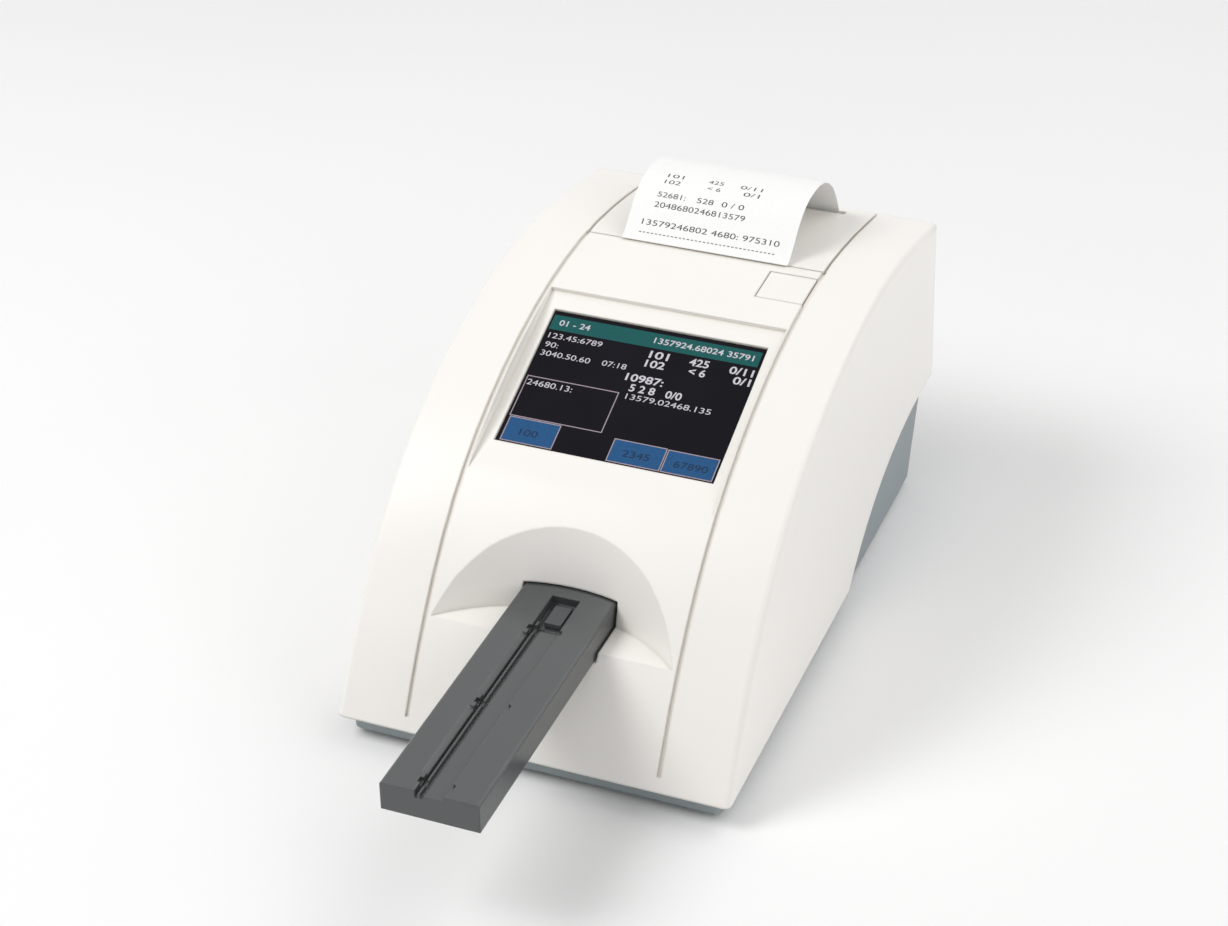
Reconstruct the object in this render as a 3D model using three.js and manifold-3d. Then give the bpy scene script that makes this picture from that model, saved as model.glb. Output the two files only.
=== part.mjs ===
// Urine strip analyzer for a bench: a moulded housing with a sunk, tilted touch screen, a motor
// driven strip tray that slides out of a cove in the front, and a receipt printer under a rear door.
// Units are millimetres. +X is to the right, -Y is the front where the tray comes out, +Z is up.
// The origin is on the table, under the centre of the analyzer with its tray run out.
import * as THREE from "three";
import { mergeVertices } from "three/addons/utils/BufferGeometryUtils.js";
import Module from "manifold-3d";

const wasm = await Module();
wasm.setup();

// Driving dimensions

const seat = 0.3; // gap where one piece rests on, or is cut by, its neighbour
const overrun = 8; // how far a cutter reaches past what it cuts
const screwGap = 0.4; // clearance round a screw shank

const foot = { height: 2, radius: 6, chamfer: 0.6, insetX: 12, frontInset: 15, rearInset: 32, recess: 1,
  spigotRadius: 3 };

const body = {
  length: 215, // front bottom edge to the top of the rear wall
  crestY: 154.4, // highest line of the roof
  rise: 96.5, // lower edge of the cover to the crest of the roof
  reveal: 5.5, // strip of the base that shows under the cover
  halfWidth: 63.5,
  rearLean: 3, // the rear wall's lower edge stands this far behind its top
  wall: 2.5,
  edgeRadius: 2,
  sideDraftShare: 0.019, // each side leans in by this share of the height
};

// Side view of the roof: shares of the way from the front edge to the crest, then of the way from
// there to the rear wall, each with its share of the rise
const frontRoofShares = [
  [0, 0], [0.0877, 0.248], [0.1894, 0.47], [0.312, 0.658], [0.4596, 0.804], [0.6281, 0.912],
  [0.8092, 0.98], [1, 1],
];
const rearRoofShares = [[0.4965, 0.972], [1, 0.915]];
const roofSteps = 20;

// The cover's lower edge rises towards the rear in an arch that bares the grey base
const arch = { length: 99, rise: 29.8, steps: 10 };
const archShares = [[0, 0], [0.18, 0.55], [0.465, 1.09], [1, 1]];

const groove = { centreX: 40.7, width: 1.2, depth: 0.8, bottomRise: 4 };

const display = {
  windowWidth: 71.5,
  windowHeight: 54,
  tilt: 21.6, // degrees from level
  frontY: 61.7, // lower edge of the window
  sink: 2.9, // lower edge of the window below the roof
  pocketWidth: 78.8,
  topMargin: 7.4, // window to the step at the top of the pocket
  glassSink: 0.7,
  glassGap: 0.25,
  moduleWidth: 77,
  moduleHeight: 64,
  moduleThickness: 3.2,
  moduleRecess: 0.6,
  boardWidth: 97,
  boardHeight: 58,
  boardThickness: 1.6,
  bossX: 44.6,
  bossY: 24,
  bossRadius: 3,
};

// The cove is part of an upright cone that opens upwards, behind a level floor
const cove = { floorZ: 38.8, radius: 53.4, setBack: 18.2, leanShare: 0.234, sides: 80 };

const tray = {
  width: 29.8,
  thickness: 9.3,
  floorSink: 1.9, // how far its underside lies below the cove's floor
  reach: 66.5, // front end ahead of the housing's front edge
  length: 140,
  travel: 95,
  slotGap: 0.5,
  edge: 0.5,
  skin: 2.4, // wall left over and beside the hollows in its underside
  hollows: 6,
  rib: 1.6,
};

// Strip channel along the top of the tray: a bed with a ribbed drain gutter on its left
const channel = {
  left: 4.4,
  right: 4.5,
  bedDepth: 1.5,
  gutterDepth: 2.5,
  gutterWidth: 0.95,
  ribWidth: 0.6,
  ribDepth: 0.9,
  length: 82,
  notchLength: 2.2,
  notchReach: 1,
  chamferWidth: 1.5,
  chamferDepth: 1.1,
  chamferGap: 2,
};
const notchShares = [0.036, 0.308, 0.58]; // middles of the cross notches along the tray

// Reference pad behind the strip channel, across a drain well
const reference = {
  wellLength: 2.5,
  wellDepth: 3.4,
  recessLength: 14,
  recessDepth: 3,
  width: 5.2,
  length: 9.4,
  thickness: 1.5,
  setBack: 1.5,
};

const rack = { width: 6, grooveDepth: 3.5, height: 2.8, lead: 6, backlash: 0.06 };
const feedGear = { module: 0.8, teeth: 18, width: 5, shaftRadius: 1, hubRadius: 2.5, behindGuideFront: 13,
  sideGap: 0.7 };

const guide = {
  frontGap: 3.3, // behind the cove's wall
  overTravel: 4.5,
  wall: 2.1,
  floor: 2.2,
  sideGap: 0.4,
  topGap: 0.4,
  lip: 2,
  lipReach: 2.2,
  earX: 22,
  earRadius: 4.2,
  earFrontSetBack: 31.5,
  earRearShare: 0.85, // of the guide's length
};

const feedMotor = { radius: 12, length: 14, bossRadius: 4, bossLength: 1.7, tabThickness: 2, tabTopGap: 3,
  capRadius: 3.5, capLength: 1 };

const optics = {
  width: 44,
  setBack: 4,
  depth: 23,
  height: 11,
  wall: 2.2,
  lensRadius: 4.5,
  lensHeight: 3.4,
  lensCrown: 1.2,
  lensLift: 4,
  holderWall: 1.6,
  apertureRadius: 3.6,
  boardInset: 1,
  boardThickness: 1.6,
  sensorWidth: 7,
  sensorHeight: 1.4,
  plugWidth: 12,
  plugDepth: 4.5,
  plugHeight: 3,
};
const lensShares = [[1, 0], [0.75, 0.55], [0.4, 0.9]]; // lens crown, as shares of its radius and height

const post = { sideInset: 13.5, frontInset: 28, rearInset: 42, radius: 4 };
const screw = { shankRadius: 1.4, headRadius: 2.8, headHeight: 2.2, length: 12 };
const smallScrew = { shankRadius: 1.1, headRadius: 2.1, headHeight: 1.6, length: 7 };

const base = {
  frontInset: 3.3,
  sideInset: 3.65,
  rearBottomInset: 16.2, // from the rear wall's lower edge, at the base's bottom and at the arch
  rearTopInset: 4.6,
  floor: 2.5,
  wall: 2.2,
  cornerRadius: 2.6,
  lap: 6, // how far its rim stands up behind the cover
  rimGap: 0.4,
  bossRadius: 5.2,
  bossHeight: 6,
};

const bay = { sideInset: 9.85, floorZ: 10, height: 20, depth: 19.8, wall: 2 }; // connector alcove

const board = {
  left: 26,
  postGap: 1.4, // to the bosses of the right-hand posts
  length: 115,
  wallGap: 1.2,
  thickness: 1.6,
  standoff: 5.2,
  standoffRadius: 3.2,
  pinRadius: 1.2,
  pinHeight: 1.4,
  cornerInset: 5,
  pillarGap: 1.8,
};
const chip = { width: 16, height: 1.8, x: 4, setBack: 32 };
const capacitor = { radius: 4, height: 10, x: -11, setForward: 31, pitch: 11, count: 3 };

const jack = { width: 11, height: 11, depth: 14, socketRadius: 3.2, pinRadius: 1, socketDepth: 9 };
const usb = { width: 12, height: 11, depth: 16, mouthWidth: 8.6, mouthHeight: 7.8, tongueWidth: 5.6,
  tongueHeight: 3.2, mouthDepth: 9 };
const serial = { width: 31, height: 12.5, depth: 12, shellWidth: 17, shellHeight: 8.4, shellReach: 3,
  shellWall: 0.6, taper: 1.2, socketDepth: 4.5, pinRadius: 0.5, pinPitch: 2.77, rowGap: 2.84, nutX: 12.5,
  nutRadius: 2 };
const rocker = { z: 20, width: 14, height: 9, depth: 3, peak: 1.6, valley: 0.6, pivotSink: 0.6,
  throw: 14, gap: 0.4, housingWall: 2, housingDepth: 12, bezel: 1.5, bezelThickness: 1.2 };
// How the switch, jack, USB and serial ports share the free width of the alcove, from the left
const portGapShares = [0.025, 0.149, 0.207, 0.33];

const door = {
  length: 62.1, // from the top of the rear wall forwards
  halfWidth: 40.2,
  sideGap: 0.9,
  frontGap: 0.6,
  thickness: 2.2,
  slotGap: 2.3, // paper to the slot's ends
  slotInset: 4.2, // from the top of the rear wall
  slotWidth: 3.4,
  hingeInset: 1.9,
  hingeDrop: 8.2,
  knuckleRadius: 2.4,
  knuckleLength: 3.8,
  knuckleLift: 2.4,
  ribX: 37.2,
  ribWidth: 1.6,
  ribDepth: 5,
  ribEnd: 7,
  ledge: 1.6,
  ledgeLap: 1.2,
  pinRadius: 0.85,
  pinGap: 0.3,
  bossLength: 5,
  bossSize: 5.4,
};

const roll = { radius: 19, width: 57.5, boreRadius: 6.3, setForward: 39, z: 75, sides: 32 };
const spindle = { radius: 5.9, flangeRadius: 9, journalRadius: 3, sides: 12 };
const bin = {
  rollGap: 1.6,
  sideGap: 1.45,
  wall: 2,
  frontRise: 11, // front wall above the roll's axis
  lipAngle: -36, // where the trough ends behind the roll, in degrees from level
  earGap: 0.9, // boss to the edge of the door's opening
  earSpread: 14,
  earRadius: 3.5,
  earThickness: 2,
  bossRadius: 3,
  slotGap: 0.4,
};

const platen = { radius: 4.5, behindRoll: 28.2, aboveRoll: 9, endGap: 1.7, shaftRadius: 1.5, shaftGap: 0.3 };
const printer = {
  plate: 1.5,
  frontReach: 5.2, // from the platen's axis
  rearReach: 8.1,
  bottomDrop: 22,
  topRise: 8,
  barHeight: 1.6,
  backThickness: 0.8,
  headDrop: 7,
  headRise: 7.2,
  headThickness: 1.6,
  headInset: 1,
  finDepth: 0.7,
  fins: 6,
};
const printGear = { module: 0.7, teeth: 22, pinionTeeth: 18, width: 2.5, plateGap: 0.5, backlash: 0.06,
  pinionShift: 1.8, shaftRadius: 1 };
const printMotor = { radius: 4.9, length: 13, bossRadius: 2.2, bossLength: 0.9, capRadius: 2, capLength: 0.5 };

const paper = { edge: 0.25, thickness: 0.3, nipGap: 0.25, webTop: 7.9, stripSteps: 18, bendSteps: 4 };
// Side view of the printed strip, from inside the slot over its crest to its tip on the roof, as
// shares of the way from the slot to the door's front edge and of its height over the roof
const curlHeight = 16.5;
const stripShares = [
  [0, -0.24], [0, 0.05], [0.073, 0.424], [0.18, 0.776], [0.34, 0.985], [0.518, 0.985], [0.678, 0.86],
  [0.8, 0.606], [0.9, 0.285], [0.984, 0.055], [1.018, 0.042],
];

const button = {
  left: 24.6,
  right: 39.8,
  setForward: 5.3, // from the printer door
  length: 15.3,
  gap: 0.35,
  cap: 3,
  sink: 0.15,
  travel: 1.2,
  collar: 1.2,
  collarDepth: 10,
  boardThickness: 1.6,
  stemRadius: 2,
  switchWidth: 6,
  switchHeight: 2.6,
  plungerRise: 0.5,
};

const cable = { left: 25, width: 12, thickness: 0.5, displayY: 8, boardSetBack: 27, bulge: 12, plugHeight: 3,
  plugDepth: 5, steps: 14 };

// Places that several pieces share

const rad = THREE.MathUtils.degToRad;
const sides = [-1, 1];
const coverZ = foot.height + body.reveal;
const rearY = body.length + body.rearLean;
const wide = body.halfWidth + overrun;
const farY = rearY + overrun;
const highZ = coverZ + body.rise + overrun;
const roofPoint = (y, up) => new THREE.Vector2(y, coverZ + up * body.rise);
const roofCurve = new THREE.SplineCurve([
  ...frontRoofShares.map(([along, up]) => roofPoint(along * body.crestY, up)),
  ...rearRoofShares.map(([along, up]) => roofPoint(body.crestY + along * (body.length - body.crestY), up)),
]);
const roofEnd = roofCurve.getPoint(1);
const archEndZ = coverZ + arch.rise;
const archStartY = rearY - arch.length;
const archCurve = new THREE.CubicBezierCurve(
  ...archShares.map(([along, up]) =>
    new THREE.Vector2(archStartY + along * arch.length, coverZ + up * arch.rise)),
);
const doorFrontY = body.length - door.length;
const paperHalf = roll.width / 2 - paper.edge;

// Height of the roof at a distance from the front edge
function roofZ(y) {
  let low = 0;
  let high = 1;
  for (let pass = 0; pass < 40; pass++) {
    const middle = (low + high) / 2;
    if (roofCurve.getPoint(middle).x < y) low = middle;
    else high = middle;
  }
  return roofCurve.getPoint(low).y;
}

// Solids from three.js geometry

function toSolid(geometry) {
  const bare = geometry.clone();
  bare.deleteAttribute("normal");
  bare.deleteAttribute("uv");
  const merged = mergeVertices(bare);
  const corners = merged.index.array;
  const triangles = [];
  for (let i = 0; i < corners.length; i += 3) {
    const [a, b, c] = [corners[i], corners[i + 1], corners[i + 2]];
    if (a !== b && b !== c && c !== a) triangles.push(a, b, c);
  }
  return new wasm.Manifold(
    new wasm.Mesh({
      numProp: 3,
      vertProperties: merged.attributes.position.array,
      triVerts: new Uint32Array(triangles),
    }),
  );
}

function toGeometry(solid) {
  const mesh = solid.getMesh();
  const positions = new Float32Array(mesh.numVert * 3);
  for (let i = 0; i < mesh.numVert; i++) {
    positions.set(mesh.vertProperties.subarray(i * mesh.numProp, i * mesh.numProp + 3), i * 3);
  }
  const geometry = new THREE.BufferGeometry();
  geometry.setAttribute("position", new THREE.BufferAttribute(positions, 3));
  geometry.setIndex(new THREE.BufferAttribute(mesh.triVerts, 1));
  return geometry;
}

const join = (...solids) => solids.reduce((whole, piece) => whole.add(piece));
const cut = (whole, ...tools) => tools.reduce((rest, tool) => rest.subtract(tool), whole);

function block(x0, x1, y0, y1, z0, z1) {
  const geometry = new THREE.BoxGeometry(x1 - x0, y1 - y0, z1 - z0);
  return toSolid(geometry.translate((x0 + x1) / 2, (y0 + y1) / 2, (z0 + z1) / 2));
}

// A block on the left or the right: near and far are distances from the middle
function sideBlock(side, near, far, y0, y1, z0, z1) {
  return side > 0 ? block(near, far, y0, y1, z0, z1) : block(-far, -near, y0, y1, z0, z1);
}

function centredBlock(width, length, z0, z1) {
  return block(-width / 2, width / 2, -length / 2, length / 2, z0, z1);
}

function rodX(radius, x0, x1, y, z, count = 24) {
  const geometry = new THREE.CylinderGeometry(radius, radius, x1 - x0, count).rotateZ(Math.PI / 2);
  return toSolid(geometry.translate((x0 + x1) / 2, y, z));
}

function rodY(radius, y0, y1, x, z, count = 16) {
  return toSolid(new THREE.CylinderGeometry(radius, radius, y1 - y0, count).translate(x, (y0 + y1) / 2, z));
}

function rodZ(radius, z0, z1, x, y, count = 12) {
  const geometry = new THREE.CylinderGeometry(radius, radius, z1 - z0, count).rotateX(Math.PI / 2);
  return toSolid(geometry.translate(x, y, (z0 + z1) / 2));
}

const unit = { x: new THREE.Vector3(1, 0, 0), y: new THREE.Vector3(0, 1, 0), z: new THREE.Vector3(0, 0, 1) };

// Draws a closed outline of 2D points out by a depth, turned and placed by a matrix
function prism(points, depth, matrix) {
  const corners = points.map(([a, b]) => new THREE.Vector2(a, b));
  const geometry = new THREE.ExtrudeGeometry(new THREE.Shape(corners), { depth, bevelEnabled: false });
  return toSolid(geometry.applyMatrix4(matrix));
}

// An outline of [y, z] points drawn out along X
function prismX(points, x0, x1) {
  const turn = new THREE.Matrix4().makeBasis(unit.y, unit.z, unit.x);
  return prism(points, x1 - x0, turn.setPosition(x0, 0, 0));
}

// An outline of [x, z] points drawn out along Y
function prismY(points, y0, y1) {
  const turn = new THREE.Matrix4().makeBasis(unit.x, unit.z, unit.y.clone().negate());
  return prism(points, y1 - y0, turn.setPosition(0, y1, 0));
}

// An upright block with rounded corners in plan
function roundedBlock(x0, x1, y0, y1, z0, z1, radius) {
  const shape = new THREE.Shape();
  shape.absarc(x1 - radius, y0 + radius, radius, -Math.PI / 2, 0);
  shape.absarc(x1 - radius, y1 - radius, radius, 0, Math.PI / 2);
  shape.absarc(x0 + radius, y1 - radius, radius, Math.PI / 2, Math.PI);
  shape.absarc(x0 + radius, y0 + radius, radius, Math.PI, 1.5 * Math.PI);
  const geometry = new THREE.ExtrudeGeometry(shape, { depth: z1 - z0, bevelEnabled: false, curveSegments: 4 });
  return toSolid(geometry.translate(0, 0, z0));
}

// Turned pieces, from [radius, height] points that run from one end of the axis to the other
function turnedZ(profile, count, x, y) {
  const points = profile.map(([radius, z]) => new THREE.Vector2(radius, z));
  return toSolid(new THREE.LatheGeometry(points, count).rotateX(Math.PI / 2).translate(x, y, 0));
}

function turnedX(profile, count, y, z) {
  const points = profile.map(([radius, x]) => new THREE.Vector2(radius, x));
  return toSolid(new THREE.LatheGeometry(points, count).rotateZ(-Math.PI / 2).translate(0, y, z));
}

// A spur gear about X at the origin with involute flanks and a tooth centred on an angle
function gearX({ module, teeth, width, backlash }, toothAngle) {
  const pitchRadius = (module * teeth) / 2;
  const baseRadius = pitchRadius * Math.cos(rad(20));
  const rootRadius = pitchRadius - 1.25 * module;
  const unroll = (radius) => {
    const angle = Math.acos(Math.min(1, baseRadius / radius));
    return Math.tan(angle) - angle;
  };
  const halfAtPitch = Math.PI / (2 * teeth) - backlash / pitchRadius;
  const halfAt = (radius) => halfAtPitch + unroll(pitchRadius) - unroll(Math.max(radius, baseRadius));
  const radii = [rootRadius, pitchRadius, pitchRadius + module];
  const points = [];
  for (let tooth = 0; tooth < teeth; tooth++) {
    const centre = toothAngle + (tooth * 2 * Math.PI) / teeth;
    const flank = (radius, sign) => {
      const angle = centre + sign * halfAt(radius);
      return [radius * Math.cos(angle), radius * Math.sin(angle)];
    };
    points.push(...radii.map((radius) => flank(radius, -1)));
    points.push(...[...radii].reverse().map((radius) => flank(radius, 1)));
  }
  return prismX(points, -width / 2, width / 2);
}

// A thin sheet across the width that follows a line of points in the side view
function sheetX(points, thickness, x0, x1) {
  const upper = [];
  const lower = [];
  points.forEach((point, i) => {
    const before = points[Math.max(i - 1, 0)];
    const after = points[Math.min(i + 1, points.length - 1)];
    const aside = after.clone().sub(before).normalize().multiplyScalar(thickness / 2);
    upper.push([point.x - aside.y, point.y + aside.x]);
    lower.push([point.x + aside.y, point.y - aside.x]);
  });
  return prismX([...lower, ...upper.reverse()], x0, x1);
}

// A screw whose head bears on a level, with its shank up (direction 1) or down (-1) from there
function screwBody({ shankRadius, headRadius, headHeight, length }, x, y, level, direction = 1) {
  const top = level - direction * seat;
  const rod = (radius, from, to, count) => rodZ(radius, Math.min(from, to), Math.max(from, to), x, y, count);
  const head = rod(headRadius, top - direction * headHeight, top, 10);
  return join(head, rod(shankRadius, top - (direction * headHeight) / 2, top + direction * length, 8));
}

function screwHole({ shankRadius, length }, x, y, level, direction = 1) {
  const ends = [level - direction * seat, level + direction * (length + seat)];
  return rodZ(shankRadius + screwGap, Math.min(...ends), Math.max(...ends), x, y, 10);
}

// Scene graph and materials

const analyzer = new THREE.Group();
const house = new THREE.Group(); // its origin is the middle of the housing's front edge, on the table
house.position.y = (tray.reach - rearY) / 2;
analyzer.add(house);

const finishes = {
  warmWhite: { color: 0xf1efe9, roughness: 0.42, metalness: 0 },
  baseGrey: { color: 0x6f7a7f, roughness: 0.5, metalness: 0 },
  trayGrey: { color: 0x56595b, roughness: 0.45, metalness: 0 },
  black: { color: 0x17171a, roughness: 0.45, metalness: 0 },
  glass: { color: 0x100f16, roughness: 0.08, metalness: 0 },
  rubber: { color: 0x242526, roughness: 0.85, metalness: 0 },
  steel: { color: 0xb9bcc0, roughness: 0.3, metalness: 1 },
  board: { color: 0x1f5a3a, roughness: 0.5, metalness: 0 },
  paper: { color: 0xf7f7f4, roughness: 0.9, metalness: 0 },
  acetal: { color: 0xe6e3d6, roughness: 0.4, metalness: 0 },
  padGrey: { color: 0xa9aca8, roughness: 0.7, metalness: 0 },
  clear: { color: 0xdfe8ee, roughness: 0.05, metalness: 0 },
  ribbon: { color: 0xd8d5c8, roughness: 0.5, metalness: 0 },
};

function add(name, solid, slot, parent = house) {
  const mesh = new THREE.Mesh(toGeometry(solid), new THREE.MeshStandardMaterial(finishes[slot]));
  mesh.name = name;
  parent.add(mesh);
  return mesh;
}

// Housing form

// Side view, counter-clockwise from the front corner under the housing round the rear and the roof
function sideOutline() {
  const start = roofCurve.getPoint(0);
  const lead = roofCurve.getTangent(0);
  const drop = coverZ + overrun;
  const lean = body.rearLean / (roofEnd.y - archEndZ);
  const points = [
    [start.x - (lead.x / lead.y) * drop, start.y - drop],
    [rearY + lean * (archEndZ + overrun), -overrun],
  ];
  for (let i = roofSteps; i >= 0; i--) {
    const point = roofCurve.getPoint(i / roofSteps);
    points.push([point.x, point.y]);
  }
  return points;
}

// Moves each corner of a counter-clockwise outline inwards along its mitre
function insetOutline(points, inset) {
  const normal = ([y0, z0], [y1, z1]) => {
    const length = Math.hypot(y1 - y0, z1 - z0);
    return [(z1 - z0) / length, (y0 - y1) / length];
  };
  return points.map((point, i) => {
    const before = normal(points[(i + points.length - 1) % points.length], point);
    const after = normal(point, points[(i + 1) % points.length]);
    const share = inset / (1 + before[0] * after[0] + before[1] * after[1]);
    return [point[0] - (before[0] + after[0]) * share, point[1] - (before[1] + after[1]) * share];
  });
}

// Joins rings of [x, y, z] points, ordered along +X, into one closed skin
function loftX(rings) {
  const count = rings[0].length;
  const last = (rings.length - 1) * count;
  const index = [];
  const outline = rings[0].map(([, y, z]) => new THREE.Vector2(y, z));
  for (const [a, b, c] of THREE.ShapeUtils.triangulateShape(outline, [])) {
    index.push(a, c, b, last + a, last + b, last + c);
  }
  for (let ring = 0; ring < rings.length - 1; ring++) {
    for (let i = 0; i < count; i++) {
      const a = ring * count + i;
      const b = ring * count + ((i + 1) % count);
      index.push(a, b, b + count, a, b + count, a + count);
    }
  }
  const geometry = new THREE.BufferGeometry();
  geometry.setAttribute("position", new THREE.Float32BufferAttribute(rings.flat(2), 3));
  geometry.setIndex(index);
  return toSolid(geometry);
}

const halfWidthAt = (z) => body.halfWidth - body.sideDraftShare * (z - coverZ);

// The housing's outer form, or one that lies an inset inside it, with rounded edges along each side
function housingForm(inset) {
  const edgeSteps = inset > 0 ? 1 : 3;
  const outline = sideOutline();
  const radius = Math.max(body.edgeRadius - inset, seat);
  const stations = [];
  for (let step = 0; step <= edgeSteps; step++) {
    const angle = (step / edgeSteps) * (Math.PI / 2);
    stations.push({ aside: radius * (1 - Math.cos(angle)), drop: radius * (1 - Math.sin(angle)) });
  }
  const ring = ({ aside, drop }, side) =>
    insetOutline(outline, inset + drop).map(([y, z]) => [side * (halfWidthAt(z) - inset - aside), y, z]);
  const left = stations.map((station) => ring(station, -1));
  const right = [...stations].reverse().map((station) => ring(station, 1));
  return loftX([...left, ...right]);
}

// The skin of the housing between two depths
const housingSkin = (outside, inside) => cut(housingForm(outside), housingForm(inside));

function archPoints(lift) {
  return archCurve.getPoints(arch.steps).map((point) => [point.x - lift, point.y + lift]);
}

function belowCover() {
  const edge = archPoints(0).reverse();
  const underneath = -2 * overrun;
  return prismX([
    [-farY, underneath], [farY, underneath], [farY, archEndZ], ...edge, [-farY, coverZ],
  ], -wide, wide);
}

function coveCone(grow, bottomZ, count) {
  const reach = (z) => cove.radius + grow + cove.leanShare * (z - cove.floorZ);
  const height = highZ - bottomZ;
  const geometry = new THREE.CylinderGeometry(reach(highZ), reach(bottomZ), height, count);
  return toSolid(geometry.rotateX(Math.PI / 2).translate(0, -cove.setBack, bottomZ + height / 2));
}

// Display: its frame has its origin at the window's centre, x across, y up the slope, z out of the face

const tilt = rad(display.tilt);
const displayGroup = new THREE.Group();
displayGroup.position.set(
  0,
  display.frontY + (display.windowHeight / 2) * Math.cos(tilt),
  roofZ(display.frontY) - display.sink + (display.windowHeight / 2) * Math.sin(tilt),
);
displayGroup.rotation.x = tilt;
displayGroup.updateMatrix();
house.add(displayGroup);
const fromDisplay = (solid) => toSolid(toGeometry(solid).applyMatrix4(displayGroup.matrix));

const moduleTop = -(body.wall + seat);
const displayBossZ = moduleTop - display.moduleThickness;
const displayBoardTop = displayBossZ - seat;
const displayBoardBottom = displayBoardTop - display.boardThickness;
const displayBosses = sides.flatMap((side) =>
  [-display.bossY, display.bossY].map((y) => [side * display.bossX, y]));

function displayPocket(grow) {
  const half = display.pocketWidth / 2 + grow;
  const top = display.windowHeight / 2 + display.topMargin + grow;
  return fromDisplay(block(-half, half, -body.length / 2, top, -grow, body.rise));
}

function addDisplay() {
  const { windowWidth, windowHeight, glassGap } = display;
  const glass = centredBlock(
    windowWidth - 2 * glassGap, windowHeight - 2 * glassGap, moduleTop + seat, -display.glassSink,
  );
  add("touch_panel", glass, "glass", displayGroup);
  const lcd = cut(
    centredBlock(display.moduleWidth, display.moduleHeight, displayBossZ, moduleTop),
    centredBlock(windowWidth, windowHeight, moduleTop - display.moduleRecess, moduleTop + overrun),
  );
  add("lcd_module", lcd, "steel", displayGroup);
  const plug = block(
    cable.left, cable.left + cable.width, cable.displayY - cable.plugDepth / 2,
    cable.displayY + cable.plugDepth / 2, displayBoardBottom - cable.plugHeight, displayBoardTop,
  );
  const plate = centredBlock(display.boardWidth, display.boardHeight, displayBoardBottom, displayBoardTop);
  const holes = displayBosses.map(([x, y]) => screwHole(smallScrew, x, y, displayBoardBottom));
  add("display_board", cut(join(plate, plug), ...holes), "board", displayGroup);
  displayBosses.forEach(([x, y], i) => {
    add(`display_screw_${i + 1}`, screwBody(smallScrew, x, y, displayBoardBottom), "steel", displayGroup);
  });
}

// Tray, rack and pinion

const trayTopZ = cove.floorZ - tray.floorSink + tray.thickness;
const trayZ = trayTopZ - tray.thickness;
const trayHalf = tray.width / 2;
const trayFrontY = -tray.reach;
const trayRearY = trayFrontY + tray.length;
const channelEndY = trayFrontY + channel.length;
const recessY = channelEndY + reference.wellLength;
const recessEndY = recessY + reference.recessLength;
const guideFrontY = cove.radius - cove.setBack + body.wall + guide.frontGap;
const guideRearY = trayRearY + tray.travel + guide.overTravel;
const guideZ = trayZ - seat - guide.floor;
const guideInner = trayHalf + guide.sideGap;
const guideOuter = guideInner + guide.wall;
const guideTopZ = trayTopZ + guide.topGap + guide.lip;
const gearY = guideFrontY + feedGear.behindGuideFront;
const rackTopZ = trayZ + rack.grooveDepth - seat;
const rackTipZ = rackTopZ - rack.height;
const feedRadius = (feedGear.module * feedGear.teeth) / 2;
const pitchZ = rackTipZ + feedGear.module;
const gearZ = pitchZ - feedRadius;
const rackFrontY = gearY - tray.travel - rack.lead;
const rackRearY = gearY + rack.lead;
const motorFaceX = guideOuter + feedMotor.tabThickness + seat;

// Cuts the tray from its top face down to a depth
const trayPocket = (x0, x1, y0, y1, depth) => block(x0, x1, y0, y1, trayTopZ - depth, trayTopZ + overrun);

function channelCuts() {
  const { left, right, gutterWidth, ribWidth } = channel;
  const frontY = trayFrontY - overrun;
  const innerGutter = -left + gutterWidth + ribWidth;
  const bedLeft = innerGutter + gutterWidth;
  const cuts = [
    trayPocket(-left, right, frontY, channelEndY, channel.ribDepth),
    trayPocket(bedLeft, right, frontY, channelEndY, channel.bedDepth),
    trayPocket(-left, -left + gutterWidth, frontY, recessEndY, channel.gutterDepth),
    trayPocket(innerGutter, bedLeft, frontY, channelEndY, channel.gutterDepth),
    trayPocket(innerGutter, right, channelEndY, recessY, reference.wellDepth),
    trayPocket(-left, right, recessY, recessEndY, reference.recessDepth),
  ];
  const notches = notchShares.map((share) => trayFrontY + share * tray.length);
  const half = channel.notchLength / 2;
  for (const y of notches) {
    const reach = channel.notchReach;
    cuts.push(trayPocket(-left - reach, right + reach, y - half, y + half, channel.bedDepth));
  }
  const profile = [
    [-left - channel.chamferWidth, trayTopZ],
    [-left, trayTopZ - channel.chamferDepth],
    [-left + gutterWidth, trayTopZ - channel.chamferDepth],
    [-left + gutterWidth, trayTopZ + overrun],
    [-left - channel.chamferWidth, trayTopZ + overrun],
  ];
  for (let i = 1; i < notches.length; i++) {
    const clear = half + channel.chamferGap;
    cuts.push(prismY(profile, notches[i - 1] + clear, notches[i] - clear));
  }
  return cuts;
}

// Pockets in the underside, on each side of the rack, with a rib between each two
function trayHollows() {
  const cell = (tray.length - 2 * tray.skin + tray.rib) / tray.hollows;
  const near = rack.width / 2 + seat + tray.skin;
  const far = trayHalf - tray.skin;
  const topZ = trayTopZ - tray.skin - channel.chamferDepth;
  const pockets = [];
  for (let i = 0; i < tray.hollows; i++) {
    const y = trayFrontY + tray.skin + i * cell;
    pockets.push(...sides.map((side) =>
      sideBlock(side, near, far, y, y + cell - tray.rib, trayZ - overrun, topZ)));
  }
  return pockets;
}

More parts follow.
